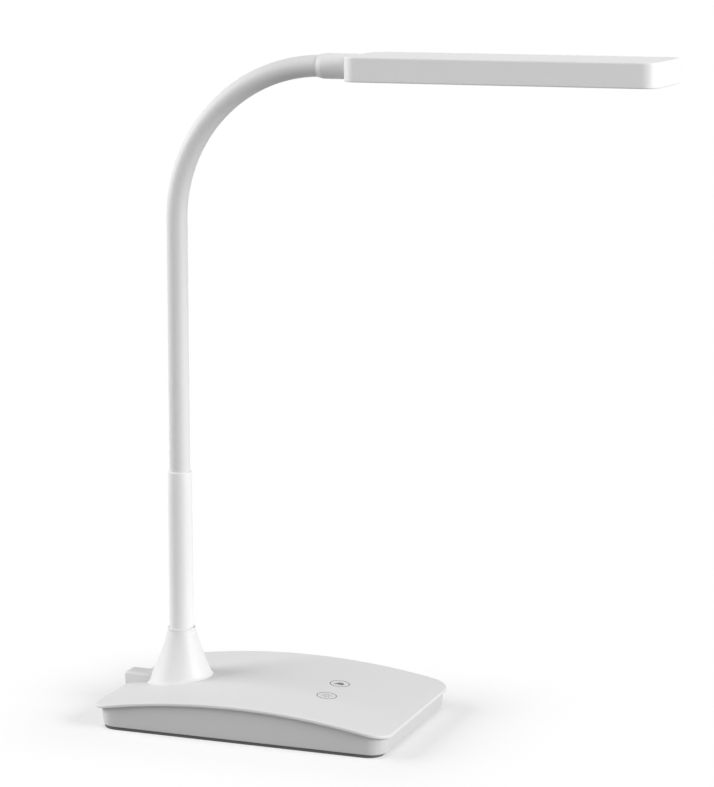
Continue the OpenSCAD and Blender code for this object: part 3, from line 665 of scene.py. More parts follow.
def wound_rings(tree, spot, shade, matt, height):
    """Turns of the wire that the gooseneck is wound from, along its path, with painted shade in the
    grooves between them.
    """
    across = node_in(tree, "ShaderNodeSeparateXYZ", links={0: spot})
    straight = node_in(
        tree, "ShaderNodeMath", {1: BOW_BASE_Z * MM}, {0: across.outputs["Z"]}, operation="SUBTRACT"
    )
    out = node_in(
        tree, "ShaderNodeMath", {1: BOW_END_X * MM}, {0: across.outputs["X"]}, operation="SUBTRACT"
    )
    turned = node_in(
        tree, "ShaderNodeMath", links={0: straight.outputs[0], 1: out.outputs[0]},
        operation="ARCTAN2",
    )
    above = node_in(
        tree, "ShaderNodeMath", {1: 0.0}, {0: straight.outputs[0]}, operation="GREATER_THAN"
    )
    arc = node_in(
        tree, "ShaderNodeMath", {1: -BOW_R * MM}, {0: turned.outputs[0]}, operation="MULTIPLY"
    )
    path = node_in(tree, "ShaderNodeMix", data_type="FLOAT")
    tree.links.new(above.outputs[0], path.inputs[0])
    tree.links.new(straight.outputs[0], path.inputs[2])
    tree.links.new(arc.outputs[0], path.inputs[3])
    turns = node_in(
        tree, "ShaderNodeMath", {1: 2 * math.pi / (1.2 * MM)}, {0: path.outputs[0]},
        operation="MULTIPLY",
    )
    wave = node_in(tree, "ShaderNodeMath", links={0: turns.outputs[0]}, operation="SINE")
    # Painted shade: the grooves between the turns go dark.
    painted_groove_shade = node_in(
        tree, "ShaderNodeMapRange",
        {"From Min": -0.6, "From Max": -1.0, "To Min": 0.0, "To Max": 0.7},
        {"Value": wave.outputs[0]},
    )
    shade = blended(tree, painted_groove_shade.outputs["Result"], shade, (0.12, 0.12, 0.125))
    return shade, matt, relief_of(tree, height, wave.outputs[0], 4.0)


def settled_dust(tree, spot, shade, matt, height):
    """Faint lint and dust that soft silicone holds, in specks all over it."""
    specks = node_in(
        tree, "ShaderNodeTexNoise", {"Scale": 900.0, "Detail": 4.0, "Roughness": 0.7},
        {"Vector": spot},
    )
    few = node_in(
        tree, "ShaderNodeMapRange",
        {"From Min": 0.62, "From Max": 0.74, "To Min": 0.0, "To Max": 0.25},
        {"Value": specks.outputs["Fac"]},
    )
    return blended(tree, few.outputs["Result"], shade, (0.7, 0.69, 0.67)), matt, height


def lens_cells(tree, spot, shade, matt, height):
    """Fine lens cells moulded into a diffuser."""
    cells = node_in(
        tree, "ShaderNodeTexVoronoi", {"Scale": 900.0, "Randomness": 0.15}, {"Vector": spot},
        feature="SMOOTH_F1",
    )
    return shade, matt, relief_of(tree, height, cells.outputs["Distance"], 1.0)


# Edges of the white plastics go lighter: a painted highlight along every edge, with a real polish
# in the roughness.
EDGE_POLISH_AND_HIGHLIGHT = {"radius": 0.0005, "amount": 0.35, "colour": (0.93, 0.93, 0.925), "polish": 0.15}
SCUFFED = {"radius": 0.0004, "amount": 0.5, "colour": (0.42, 0.42, 0.42), "polish": -0.05}
BRIGHT = {"radius": 0.0003, "amount": 0.6, "colour": (0.8, 0.8, 0.8), "polish": 0.1}
METAL = {"Metallic": 1.0}
LINES = ("lines", {"Scale": 100.0})


def white_plastic(name, grey, rough):
    return finish(
        name, (grey, grey, grey), rough, drift=(16.0, 0.025),
        relief=("grain", {"Scale": 1900.0}), strength=0.15, edge=EDGE_POLISH_AND_HIGHLIGHT, rough_swing=0.06,
    )


def slot_materials():
    """One material for each of the record's finishes."""
    zinc = finish("zinc_steel", (0.62, 0.63, 0.65), 0.34, (60.0, 0.12), LINES, 0.25, edge=BRIGHT,
                  rough_swing=0.16, extra=METAL)
    return {
        # Deck and housing are the white plastic of the stem, collar and head, made darker as
        # painted shade: the housing most, for the shade under the deck's overhang, the deck a
        # little.
        "deck": white_plastic("deck_plastic_painted_shade", 0.775, 0.5),
        "housing": white_plastic("housing_plastic_painted_shade", 0.69, 0.55),
        "stem": white_plastic("stem_plastic", 0.84, 0.5),
        "collar": white_plastic("collar_plastic", 0.84, 0.5),
        "head": white_plastic("head_plastic", 0.83, 0.4),
        # The mat's dark rubber stands in as painted shade for the gap under the housing.
        "foot": finish("mat_rubber_painted_shade", (0.14, 0.14, 0.145), 0.8, (90.0, 0.2), strength=0.4,
                       depth=0.0001, edge=SCUFFED, pattern=rubber_tread),
        "steel": zinc,
        "circuit_board": finish("board_green", (0.05, 0.2, 0.09), 0.32, (40.0, 0.1),
                                strength=0.3, pattern=board_traces),
        "black_plastic": finish("black_moulding", (0.028, 0.028, 0.03), 0.5, (60.0, 0.25),
                                edge={**SCUFFED, "colour": (0.09, 0.09, 0.09)}),
        "brass": finish("contact_brass", (0.72, 0.55, 0.26), 0.24, (80.0, 0.1),
                        ("lines", {"Scale": 140.0, "Stretch": (40.0, 1.0, 1.0)}), 0.2,
                        edge={**BRIGHT, "colour": (0.85, 0.7, 0.4)}, extra=METAL),
        "red_wire": finish("red_insulation", (0.5, 0.04, 0.03), 0.38, (70.0, 0.12)),
        "lead_jacket": finish("white_jacket", (0.78, 0.78, 0.77), 0.45, (50.0, 0.05)),
        "gooseneck_steel": finish("wound_steel", (0.58, 0.59, 0.61), 0.36, (50.0, 0.15), LINES,
                                  0.5, 0.0001, extra=METAL, pattern=wound_rings),
        "neck_skin": finish("neck_silicone", (0.76, 0.76, 0.76), 0.5, (18.0, 0.03),
                            ("grain", {"Scale": 2400.0}), 0.08, pattern=settled_dust),
        "bearing": finish("acetal", (0.8, 0.8, 0.77), 0.33, (25.0, 0.03),
                          edge={**EDGE_POLISH_AND_HIGHLIGHT, "amount": 0.5}),
        "opal": finish("opal_acrylic", (0.86, 0.86, 0.84), 0.38, (10.0, 0.015), strength=0.2,
                       extra={"Transmission Weight": 0.15, "IOR": 1.49}, pattern=lens_cells),
        "led_board": finish("led_board_white", (0.8, 0.8, 0.79), 0.35, (30.0, 0.02),
                            strength=0.3, pattern=board_traces),
        "led": finish("led_phosphor", (0.86, 0.66, 0.16), 0.5, (600.0, 0.12), strength=0.3),
    }


def print_ink(name, grey):
    """Printed ink, a little uneven where the screen left it thin."""
    return finish(name, (grey, grey, grey), 0.5, (900.0, 0.35), strength=0.1, rough_swing=0.12)


# ------------------------------------------------------------- base pieces


def cone_r(z):
    """Radius of the cone's side at height z, from straight lines eased into each other."""
    marks = [
        (57.0, 9.4), (54.6, 9.5), (46.0, 12.0), (37.6, 15.0), (29.1, 18.5), (24.8, 20.3),
        (12.0, 25.8),
    ]
    for (z0, r0), (z1, r1) in zip(marks, marks[1:]):
        if z >= z1:
            return r0 + (r1 - r0) * (z0 - z) / (z0 - z1)
    return marks[-1][1]


def cone_side(foot_z, fillet=1.5, steps=40):
    """(radius, height) pairs down the cone's side to a deck at foot_z, with a fillet there."""
    top, ease = CONE_TOP_Z - 0.45, 2.4
    out = []
    for s in range(steps + 1):
        z = top - (top - foot_z) * s / steps
        near = [cone_r(z + ease * d / 2) for d in range(-2, 3)]
        r = sum(near) / len(near) if z < CONE_TOP_Z - 3 else cone_r(z)
        lift = max(0.0, fillet - (z - foot_z)) / fillet
        out.append((r + fillet * 0.55 * lift * lift, z))
    return out


def deck_rim(top_r=0.75, low_r=0.5, steps=5):
    """(inset, drop) pairs round the deck's rim, from its top edge to its lower one."""
    turns = [math.radians(90 * s / steps) for s in range(steps + 1)]
    out = [(top_r * (1 - math.sin(a)), top_r * (1 - math.cos(a))) for a in turns]
    return out + [(low_r * (1 - math.cos(a)), DECK_T - low_r * (1 - math.sin(a))) for a in turns]


def deck_cover():
    """Arched deck and its cone as one skin, with a soft rim and the bore for the stem."""
    counts = {"set_back": 0, "side": 70, "end": 84}
    outline = base_outline(0, **counts)
    bore_r, bore_low, lip = (STEM_FOOT_D + 0.2) / 2, CONE_TOP_Z - 12, 0.4
    cone_steps, deck_steps = 40, 18
    rays = []
    for x, y in outline:
        reach = math.hypot(x - NECK_X, y)
        rays.append(((x - NECK_X) / reach, y / reach))
    rings = []

    def round_neck(r, z):
        rings.append([(NECK_X + ux * r, uy * r, z) for ux, uy in rays])

    def on_arch(points, drop=0.0):
        rings.append([(x, y, deck_z(x) - drop) for x, y in points])

    def between(inner, outer, t):
        return [(a + (c - a) * t, b + (d - b) * t) for (a, b), (c, d) in zip(inner, outer)]

    # The bore and the lip at the cone's top
    round_neck(bore_r, bore_low)
    for s, c in quarter(30):
        round_neck(bore_r + lip * (1 - c), CONE_TOP_Z - lip * (1 - s))
    for s, c in quarter(30):
        round_neck(cone_r(CONE_TOP_Z) - lip * (1 - s), CONE_TOP_Z - lip * (1 - c))
    # The cone's side, each ray ending on the deck under it
    sides = []
    for ux, _ in rays:
        foot = deck_z(NECK_X)
        for _ in range(4):
            foot = deck_z(NECK_X + ux * cone_side(foot)[-1][0])
        sides.append(cone_side(foot, steps=cone_steps))
    for k in range(1, cone_steps + 1):
        rings.append([
            (NECK_X + ux * side[k][0], uy * side[k][0], side[k][1])
            for (ux, uy), side in zip(rays, sides)
        ])
    # A fine groove round the cone's foot, then the deck to its rim and round to the underside
    for out, drop in ((0.12, 0.22), (0.3, 0.32), (0.48, 0.22), (0.66, 0.0)):
        reach = [side[-1][0] + out for side in sides]
        foot = [(NECK_X + ux * r, uy * r) for (ux, uy), r in zip(rays, reach)]
        on_arch(foot, drop)
    rim = deck_rim()
    for k in range(1, deck_steps + 1):
        on_arch(between(foot, base_outline(rim[0][0], **counts), (k / deck_steps) ** 1.35))
    for inset, drop in rim[1:] + [(3.0, DECK_T), (8.0, DECK_T)]:
        on_arch(base_outline(inset, **counts), drop)
    under = [(NECK_X + ux * (bore_r + 6), uy * (bore_r + 6)) for ux, uy in rays]
    for t in (0.6, 0.2, 0.0):
        on_arch(between(under, base_outline(8.0, **counts), t), DECK_T)
    round_neck(bore_r + 1.5, bore_low)
    return tube("deck_cover", rings)


def inlet_housing():
    """Housing of the power inlet: flat on top, run into the cone, and open inside."""
    front, rear, corner, run = -80.0, -105.0, 1.6, 1.1
    rings = []
    stations = [(rear, 1.1), (rear + 0.16, 0.55), (rear + 0.5, 0.2), (rear + run, 0.0)]
    stations += [(rear + run + (front - rear - run) * s / 16, 0.0) for s in range(1, 17)]
    for x, pull in stations:
        w, top = INLET_W / 2 - pull, INLET_TOP - pull
        behind = x < CAVITY_X + 2.5
        low = INLET_FOOT + pull if behind else deck_z(x) - 0.9
        shoulder = deck_z(x) + 1.3
        section = [(w, low + (shoulder - low) * s / 4) for s in range(5)]
        for s, c in quarter(18):
            section.append((w - corner * (1 - c), top - corner * (1 - s)))
        section += [(-y, z) for y, z in section[::-1]]
        rings.append([(x, INLET_Y + y, z) for y, z in section])
    obj = piece_from("inlet_housing", *loft(rings), 40)
    mouth = JACK_MOUTH_D / 2
    flare = [(0, -110), (mouth + 5.35, -110), (mouth, -104.65), (mouth, -100), (0, -100)]
    cut(obj, revolved("cutter", flare, lambda a, b, h: (h, INLET_Y + a, JACK_Z + b), sides=48))
    half, top = INLET_W / 2 - 2, JACK_Z + JACK_HALF_H
    low = (CAVITY_X, INLET_Y - half, JACK_Z - JACK_HALF_H)
    cut(obj, box_solid("cutter", low, (CAVITY_END, INLET_Y + half, top)))
    low = (JACK_REST_X, INLET_Y - half, 2.0)
    cut(obj, box_solid("cutter", low, (CAVITY_END, INLET_Y + half, top)))
    return obj


def lower_housing():
    """Drafted tray under the deck, its top edge following the arch."""
    foot, floor_top, round_r = DECK_OVERHANG + SIDE_DRAFT, FLOOR_T + MAT_T, 0.6
    rings = []

    def wall(inset, height):
        rings.append([(x, y, height(x)) for x, y in base_outline(inset)])

    def crown(x, drop=0.0):
        return deck_z(x) - DECK_T - DECK_GAP - drop

    for inset, z in ((6, 0), (BASE_WALL + 0.4, 0), (BASE_WALL, 0.4)):
        wall(foot + inset, lambda x, z=z: floor_top + z)
    wall(foot + BASE_WALL, lambda x: crown(x, 0.2))
    wall(foot + BASE_WALL - 0.2, crown)
    wall(DECK_OVERHANG + 0.3, crown)
    wall(DECK_OVERHANG + 0.02, lambda x: crown(x, 0.3))
    for t in (0.25, 0.5, 0.75):
        wall(
            DECK_OVERHANG + SIDE_DRAFT * t,
            lambda x, t=t: crown(x) * (1 - t) + (MAT_T + round_r) * t,
        )
    for s, c in quarter(18):
        wall(foot + round_r * (1 - c), lambda x, s=s: MAT_T + round_r * (1 - s))
    wall(foot + 6, lambda x: MAT_T)
    obj = piece_from("base_housing", *loft(rings), 40)
    half = INLET_W / 2 + 0.25
    low = (-110, INLET_Y - half, INLET_FOOT - 0.25)
    cut(obj, box_solid("cutter", low, (-96, INLET_Y + half, 30)))
    return obj


def foot_mat():
    """Rubber mat with a rounded edge, drawn in a little more at the front; its dark rubber under
    the housing stands in as painted shade for the gap there.
    """
    inset = DECK_OVERHANG + SIDE_DRAFT + MAT_INSET
    section = (
        (8, 0.0), (0.5, 0.0), (0.25, 0.07), (0.07, 0.25), (0.0, 0.5), (0.0, MAT_T - 0.15),
        (0.15, MAT_T), (8, MAT_T),
    )
    front = DECK_L / 2 - inset
    shorter = 1 - MAT_FRONT_SETBACK / front
    rings = []
    for further, z in section:
        outline = base_outline(inset + further)
        rings.append([(x * shorter if x > 0 else x, y, z) for x, y in outline])
    return piece_from("foot_mat_piece", *loft(rings), 40)


# ------------------------------------------------------------- neck pieces


def upright(x, y, z):
    return (NECK_X + x, y, z)


def along_x(x0):
    """Place for a revolve along +X from x0 on the head's axis."""
    return lambda a, b, h: (x0 + h, a, AXIS_Z + b)


def stem_sleeve():
    bore, seat, insert = CORE_FIT_D / 2, (NECK_D + 0.1) / 2, 8.0
    foot, top = STEM_FOOT_D / 2, STEM_TOP_D / 2
    points = [
        (bore, STEM_FOOT_Z), (foot, STEM_FOOT_Z), (top, STEM_TOP_Z), (seat, STEM_TOP_Z),
        (seat, STEM_TOP_Z - insert), (bore, STEM_TOP_Z - insert),
    ]
    outline = rounded(points, (0, 0.3, 0.55, 0.15, 0, 0))
    full = []
    for p, q in zip(outline, outline[1:] + outline[:1]):
        full.append(p)
        if abs(q[1] - p[1]) > 60:
            steps = 12
            full += [
                (p[0] + (q[0] - p[0]) * s / steps, p[1] + (q[1] - p[1]) * s / steps)
                for s in range(1, steps)
            ]
    return revolved("stem", full, upright, 96)


def neck_path(s):
    """Point and direction on the neck's centre line, s millimetres above the stem."""
    bow_l = BOW_R * math.pi / 2
    if s <= STRAIGHT_L:
        return Vector((NECK_X, 0, STEM_TOP_Z + s)), Vector((0, 0, 1))
    if s <= STRAIGHT_L + bow_l:
        a = (s - STRAIGHT_L) / BOW_R
        return (
            Vector((BOW_END_X - BOW_R * math.cos(a), 0, BOW_BASE_Z + BOW_R * math.sin(a))),
            Vector((math.sin(a), 0, math.cos(a))),
        )
    return Vector((BOW_END_X + s - STRAIGHT_L - bow_l, 0, AXIS_Z)), Vector((1, 0, 0))


def neck_ring(centre, ahead, r, sides=64):
    across = Vector((0, 1, 0))
    out = ahead.cross(across)
    turns = [2 * math.pi * j / sides for j in range(sides)]
    return [tuple(centre + r * (math.cos(a) * out + math.sin(a) * across)) for a in turns]


def neck_rings(r, s0, s1, steps):
    """Rings of radius r along the neck's centre line."""
    return [neck_ring(*neck_path(s0 + (s1 - s0) * i / steps), r) for i in range(steps + 1)]


def ball_rings(s, r, turns):
    """Rings on a ball of radius r round the point at s, at angles back from its middle."""
    centre, ahead = neck_path(s)
    rings = []
    for turn in turns:
        a = math.radians(turn)
        rings.append(neck_ring(centre - r * math.sin(a) * ahead, ahead, r * math.cos(a)))
    return rings


NECK_S_END = STRAIGHT_L + BOW_R * math.pi / 2
SKIN_OUTER, SKIN_BORE = NECK_D / 2, CORE_FIT_D / 2
NECK_BODIES = ["base"] + [f"neck_link_{i}" for i in range(1, 12)] + ["neck_end"]
# In the poses that bend everything at once, a joint's pivot is found to within rounding only.
# By trial, these joints come out right when named from the upper body to the lower, the others
# when named upwards, and the last one in neither order, so its skin is split.
BLENDED_DOWNWARD = (5, 7, 10)
SPLIT_JOINT = 9


def neck_skin(k, s0, s1):
    """One stretch of the neck's skin, over joint k."""
    steps, ease = max(8, round((s1 - s0) / 1.2)), 1.4
    rings = neck_rings(SKIN_OUTER, s0, s1, steps) + neck_rings(SKIN_BORE, s1, s0, steps)
    obj = tube(f"neck_skin_{k}", rings)
    low, high = NECK_BODIES[k - 1], NECK_BODIES[k]
    start = neck_path(max(s0, 0) + ease)[0] * MM
    end = neck_path(min(s1, NECK_S_END) - ease)[0] * MM
    if k in BLENDED_DOWNWARD:
        low, high, start, end = high, low, end, start
    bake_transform(obj)
    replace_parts(obj, f"neck_sleeve_{k}", *(["neck_sleeve_0"] if k == 1 else []))
    return obj


def split_skin(k, s0, s1):
    """The skin over joint k as two rigid halves: a ball end that turns in a cup."""
    joint, cup, ball, reach, mouth = (s0 + s1) / 2, 6.99, 6.96, 20, 6.0
    low = neck_rings(SKIN_OUTER, s0, joint, 10) + ball_rings(joint, cup, range(0, 46, 3))
    low += neck_rings(SKIN_BORE, joint - 5.2, s0, 8)
    high = ball_rings(joint, ball, range(reach, -1, -4)) + neck_rings(SKIN_OUTER, joint, s1, 10)
    high += neck_rings(SKIN_BORE, s1, joint, 10)
    centre, ahead = neck_path(joint)
    high.append(neck_ring(centre - ball * math.sin(math.radians(reach)) * ahead, ahead, mouth))
    cup_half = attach(tube(f"neck_skin_{k}_low", low), NECK_BODIES[k - 1])
    ball_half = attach(tube(f"neck_skin_{k}_high", high), NECK_BODIES[k])
    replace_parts(ball_half, f"neck_sleeve_{k}")
    return [cup_half, ball_half]


def neck_skins():
    pitch, in_stem, in_collar = STRAIGHT_L / 6, 8.0, 9.4
    cuts = [-in_stem] + [pitch * k for k in range(1, 7)]
    cuts += [STRAIGHT_L + BOW_R * math.radians(15 * k) for k in range(1, 6)]
    cuts += [NECK_S_END + in_collar]
    skins = []
    for k in range(1, 13):
        span = (k, cuts[k - 1], cuts[k])
        skins += split_skin(*span) if k == SPLIT_JOINT else [neck_skin(*span)]
    return skins


def collar():
    r, mouth, spigot, bore, core_r = 8.2, 7.1, 4.0, 2.5, CORE_FIT_D / 2
    length, chamfer, reach, seat, core_end = COLLAR_END - COLLAR_X, 3.4, 15.0, 11.1, 19.1
    points = [
        (mouth, 0), (mouth + 0.35, 0), (r, chamfer), (r, length), (spigot, length),
        (spigot, length + reach), (bore, length + reach), (bore, core_end), (core_r, core_end),
        (core_r, seat), (mouth, seat),
    ]
    outline = rounded(points, (0.1, 0.15, 0.9, 0.35, 0.2, 0.3, 0, 0, 0, 0, 0), 4)
    return revolved("neck_collar", outline, along_x(COLLAR_X), 96)


# ------------------------------------------------------------- head pieces


def post(x, y, low, high, r=3.0, bore=1.3, deep=8.0):
    """A screw post with a blind pilot hole from below."""
    deep = min(deep, high - low - 1)
    profile = [(bore, low), (r, low), (r, high), (0, high), (0, low + deep), (bore, low + deep)]
    outline = rounded(profile, (0.15, 0.25, 0, 0, 0, 0), 3)
    return revolved("post", outline, lambda a, b, h: (x + a, y + b, h), 32)


def head_shell():
    """The head's moulding: a shallow tray, open below, with the posts inside its roof."""
    x0, x1, half = HEAD_X, HEAD_X + HEAD_L, HEAD_W / 2
    top_r, low_r, roof = 1.1, 0.8, HEAD_TOP - HEAD_WALL
    rings = []

    def ring(inset, z):
        pts = plate_outline(x0 + inset, x1 - inset, half - inset, max(HEAD_R - inset, 0.8))
        rings.append([(x, y, z) for x, y in pts])

    for inset, z in (
        (HEAD_WALL + 6, roof), (HEAD_WALL + 0.5, roof), (HEAD_WALL, roof - 0.5),
        (HEAD_WALL, HEAD_LOW + 0.3), (HEAD_WALL - 0.2, HEAD_LOW + 0.05),
        (HEAD_WALL - 0.4, HEAD_LOW),
    ):
        ring(inset, z)
    for s, c in quarter(15):
        ring(low_r * (1 - s), HEAD_LOW + low_r * (1 - c))
    ring(0, HEAD_LOW + low_r + 0.4)
    ring(0, HEAD_TOP - top_r - 0.4)
    for s, c in quarter(15):
        ring(top_r * (1 - c), HEAD_TOP - top_r * (1 - s))
    ring(top_r + 0.5, HEAD_TOP)
    ring(8, HEAD_TOP)
    shell = piece_from("shell", *loft(rings), 40)
    cut(shell, revolved("cutter", [(0, -4), (4.05, -4), (4.05, 4), (0, 4)], along_x(HEAD_X), 48))
    into = roof + HEAD_WALL / 2
    posts = [
        post(x, s * LED_POST_Y, LED_BOARD_Z + LED_BOARD_T, into, deep=3.0)
        for x in LED_POST_X for s in (-1, 1)
    ]
    posts += [post(FRAME_SCREW_X, s * FRAME_SCREW_Y, FRAME_TOP, into) for s in (-1, 1)]
    return joined("head_housing", [shell] + posts)


def light_frame():
    """Frame that closes the head's underside round the window, with its two screw seats."""
    inset, edge_step = HEAD_WALL + 0.15, 22
    outer = dict(x0=HEAD_X + inset, x1=HEAD_X + HEAD_L - inset, half_w=HEAD_W / 2 - inset,
                 r=HEAD_R - inset)
    inner = dict(x0=WINDOW_X, x1=WINDOW_END, half_w=WINDOW_Y, r=4.0)
    rings = []

    def ring(size, grow, z):
        pts = plate_outline(size["x0"] - grow, size["x1"] + grow, size["half_w"] + grow,
                            size["r"] + grow)
        rings.append([(x, y, HEAD_LOW + z) for x, y in pts])

    edge, bezel = 0.3, 0.7
    for s, c in quarter(edge_step):
        ring(outer, -edge * (1 - s), edge * (1 - c))
    ring(outer, 0, FRAME_T)
    ring(inner, 0.1, FRAME_T)
    ring(inner, 0, FRAME_T - 0.1)
    for s, c in quarter(edge_step):
        ring(inner, bezel * (1 - c), bezel * (1 - s))
    obj = tube("light_frame", rings)
    for side in (-1, 1):
        seat = [(0, -1), (2.4, -1), (2.4, 1.0), (1.35, 1.0), (1.35, 3), (0, 3)]
        cut(obj, revolved(
            "cutter", seat,
            lambda a, b, h, s=side: (FRAME_SCREW_X + a, s * FRAME_SCREW_Y + b, HEAD_LOW + h), 32,
        ))
    return obj


def light_diffuser():
    """Opal plate behind the frame, with eased edges."""
    lip, edge = 2.0, 0.25
    rings = []
    for inset, z in (
        (10, 0), (edge, 0), (0.07, 0.07), (0, edge), (0, DIFFUSER_T - edge),
        (0.07, DIFFUSER_T - 0.07), (edge, DIFFUSER_T), (10, DIFFUSER_T),
    ):
        grow = lip - inset
        corner = max(5.0 - inset, 0.8)
        pts = plate_outline(WINDOW_X - grow, WINDOW_END + grow, WINDOW_Y + grow, corner)
        rings.append([(x, y, FRAME_TOP + z) for x, y in pts])
    return piece_from("light_diffuser", *loft(rings), 40)


# ------------------------------------------------------------- LED rows


def led_rows_tree(package, phosphor):
    """Rows of LED packages from one package: a white body and a round phosphor."""
    tree = bpy.data.node_groups.new("led_rows", "GeometryNodeTree")
    tree.interface.new_socket("Geometry", in_out="OUTPUT", socket_type="NodeSocketGeometry")
    sizes = {}
    for label, kind in (
        ("Count", "NodeSocketInt"), ("Rows", "NodeSocketInt"), ("Pitch", FLOAT), ("Row gap", FLOAT),
        ("Package", VECTOR), ("Lens diameter", FLOAT), ("Middle", VECTOR),
    ):
        sizes[label] = tree.interface.new_socket(label, in_out="INPUT", socket_type=kind).identifier
    given, result = tree.nodes.new("NodeGroupInput"), tree.nodes.new("NodeGroupOutput")

    def maths(operation, a, b):
        values = {i: v for i, v in enumerate((a, b)) if isinstance(v, (int, float))}
        links = {i: v for i, v in enumerate((a, b)) if not isinstance(v, (int, float))}
        return node_in(tree, "ShaderNodeMath", values, links, operation=operation).outputs[0]

    def span(count, pitch):
        return maths("MULTIPLY", maths("SUBTRACT", given.outputs[count], 1.0), given.outputs[pitch])

    grid = node_in(
        tree, "GeometryNodeMeshGrid",
        links={"Size X": span("Count", "Pitch"), "Size Y": span("Rows", "Row gap"),
               "Vertices X": given.outputs["Count"], "Vertices Y": given.outputs["Rows"]},
    )
    size = node_in(tree, "ShaderNodeSeparateXYZ", links={0: given.outputs["Package"]})
    body = node_in(tree, "GeometryNodeMeshCube", links={"Size": given.outputs["Package"]})
    lens = node_in(
        tree, "GeometryNodeMeshCylinder", {"Vertices": 20, "Depth": 0.12 * MM},
        {"Radius": maths("DIVIDE", given.outputs["Lens diameter"], 2.0)},
    )
    drop = node_in(
        tree, "ShaderNodeCombineXYZ", links={"Z": maths("DIVIDE", size.outputs["Z"], -2.0)}
    )
    lowered = node_in(
        tree, "GeometryNodeTransform",
        links={"Geometry": lens.outputs["Mesh"], "Translation": drop.outputs[0]},
    )
    marked = node_in(
        tree, "GeometryNodeStoreNamedAttribute", {"Name": "phosphor", "Value": True},
        {"Geometry": lowered.outputs[0]}, data_type="BOOLEAN", domain="FACE",
    )
    one = node_in(tree, "GeometryNodeJoinGeometry", links={0: marked.outputs[0]})
    tree.links.new(body.outputs["Mesh"], one.inputs[0])
    many = node_in(
        tree, "GeometryNodeInstanceOnPoints",
        links={"Points": grid.outputs["Mesh"], "Instance": one.outputs[0]},
    )
    placed = node_in(
        tree, "GeometryNodeTransform",
        links={"Geometry": many.outputs[0], "Translation": given.outputs["Middle"]},
    )
    real = node_in(tree, "GeometryNodeRealizeInstances", links={0: placed.outputs[0]})
    white = node_in(
        tree, "GeometryNodeSetMaterial", {"Material": package}, {"Geometry": real.outputs[0]}
    )
    which = node_in(
        tree, "GeometryNodeInputNamedAttribute", {"Name": "phosphor"}, data_type="BOOLEAN"
    )
    yellow = node_in(
        tree, "GeometryNodeSetMaterial", {"Material": phosphor},
        {"Geometry": white.outputs[0], "Selection": which.outputs["Attribute"]},
    )
    tree.links.new(yellow.outputs[0], result.inputs[0])
    return tree, sizes


def led_packages(package, phosphor):
    tree, sizes = led_rows_tree(package, phosphor)
    low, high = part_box("led_chips")
    size = Vector((3.5, 2.8, 0.7)) * MM
    count, rows = 14, 2
    carrier = bpy.data.objects.new("led_packages", bpy.data.meshes.new("carrier"))
    bpy.context.scene.collection.objects.link(carrier)
    made = carrier.modifiers.new("rows", "NODES")
    made.node_group = tree
    for label, value in (
        ("Count", count), ("Rows", rows),
        ("Pitch", (high.x - low.x - size.x) / (count - 1)),
        ("Row gap", (high.y - low.y - size.y) / (rows - 1)),
        ("Package", size), ("Lens diameter", 2.3 * MM), ("Middle", (low + high) / 2),
    ):
        made[sizes[label]] = value
    apply_modifiers(carrier)
    return carrier


# ------------------------------------------------------------- touch marks


def stroke(points, width, closed=False):
    """Flat band along points, as pairs of edge points."""
    n = len(points)
    pairs = []
    for i, p in enumerate(points):
        a = points[i - 1] if i or closed else p
        b = points[(i + 1) % n] if i < n - 1 or closed else p
        along = Vector((b[0] - a[0], b[1] - a[1])).normalized() * width / 2
        pairs.append(((p[0] - along.y, p[1] + along.x), (p[0] + along.y, p[1] - along.x)))
    return pairs + pairs[:1] if closed else pairs


def printed(name, bands, ink=0.03):
    """Thin printed bands that lie on the deck's arch."""
    verts, faces = [], []
    for pairs in bands:
        for (a, b), (c, d) in zip(pairs, pairs[1:]):
            k = len(verts)
            for lift in (ink, -ink):
                verts += [(x, y, deck_z(x) + lift) for x, y in (a, b, d, c)]
            faces += [(k, k + 3, k + 2, k + 1), (k + 4, k + 5, k + 6, k + 7)]
            faces += [(k + i, k + (i + 1) % 4, k + 4 + (i + 1) % 4, k + 4 + i) for i in range(4)]
    return piece_from(name, verts, faces)


def circle_points(cx, cy, r, steps=64):
    turns = [2 * math.pi * i / steps for i in range(steps)]
    return [(cx + r * math.cos(a), cy + r * math.sin(a)) for a in turns]


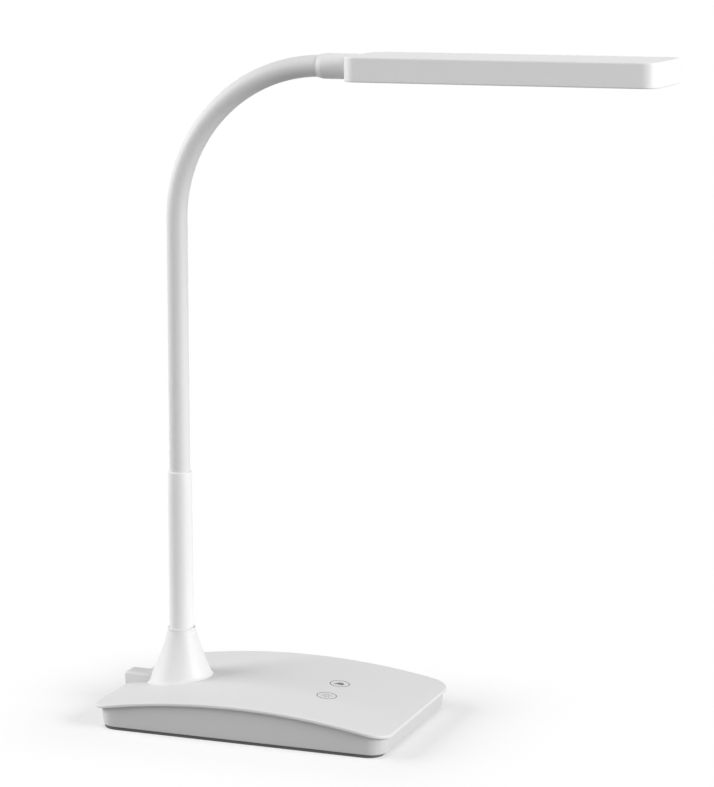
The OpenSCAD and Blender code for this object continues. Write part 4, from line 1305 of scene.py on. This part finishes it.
def touch_marks():
    """Two rings on the deck: three bars in the far one, a small sun in the near one."""
    (far_x, far_y), (near_x, near_y), ring_r, line = (43.7, 12.6), (45.3, -16.3), 6.5, 0.55
    far_ring = [stroke(circle_points(far_x, far_y, ring_r), line, closed=True)]
    bars = [
        stroke([(far_x + x0, far_y + y), (far_x + x1, far_y + y)], 1.15)
        for y, x0, x1 in ((-1.7, -3.3, 2.9), (-0.1, -2.6, 3.2), (1.5, -1.4, 2.2))
    ]
    near_ring = [stroke(circle_points(near_x, near_y, ring_r), line, closed=True)]
    sun = [stroke(circle_points(near_x, near_y, 1.9, 32), line, closed=True)]
    for i in range(8):
        c, s = math.cos(math.radians(45 * i)), math.sin(math.radians(45 * i))
        sun.append(stroke([(near_x + r * c, near_y + r * s) for r in (2.9, 4.3)], line))
    return {
        "touch_ring_far": (far_ring, 0.13), "touch_bars": (bars, 0.035),
        "touch_ring_near": (near_ring, 0.13), "touch_sun": (sun, 0.36),
    }


# ------------------------------------------------------------- assembly


def dress(obj, material):
    obj.data.materials.clear()
    obj.data.materials.append(material)


def fit_piece(obj, body, slot, materials, *replaced):
    """Puts a piece on its body, gives it its finish, and hides the parts that it stands for."""
    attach(obj, body)
    if replaced:
        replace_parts(obj, *replaced)
    dress(obj, materials[slot])


def assemble():
    materials = slot_materials()
    finishes = {part["node"]: part["material_slot"] for part in frame["record"]["subparts"]}
    for node, obj in frame["nodes"].items():
        dress(obj, materials[finishes[node]])
    fit_piece(deck_cover(), "base", "deck", materials, "top_cover")
    fit_piece(inlet_housing(), "base", "deck", materials)
    fit_piece(lower_housing(), "base", "housing", materials, "lower_housing")
    fit_piece(foot_mat(), "base", "foot", materials, "foot_mat")
    fit_piece(stem_sleeve(), "base", "stem", materials, "stem_sleeve")
    for skin in neck_skins():
        dress(skin, materials["neck_skin"])
    fit_piece(collar(), "neck_end", "collar", materials, "collar")
    fit_piece(head_shell(), "head", "head", materials, "head_shell")
    fit_piece(light_frame(), "head", "head", materials, "diffuser_frame")
    fit_piece(light_diffuser(), "head", "opal", materials, "diffuser")
    leds = led_packages(materials["led_board"], materials["led"])
    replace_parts(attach(leds, "head"), "led_chips")
    for name, (bands, grey) in touch_marks().items():
        mark = printed(name, bands)
        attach(mark, "base")
        dress(mark, print_ink(name + "_ink", grey))


studio()
build_groups()
assemble()
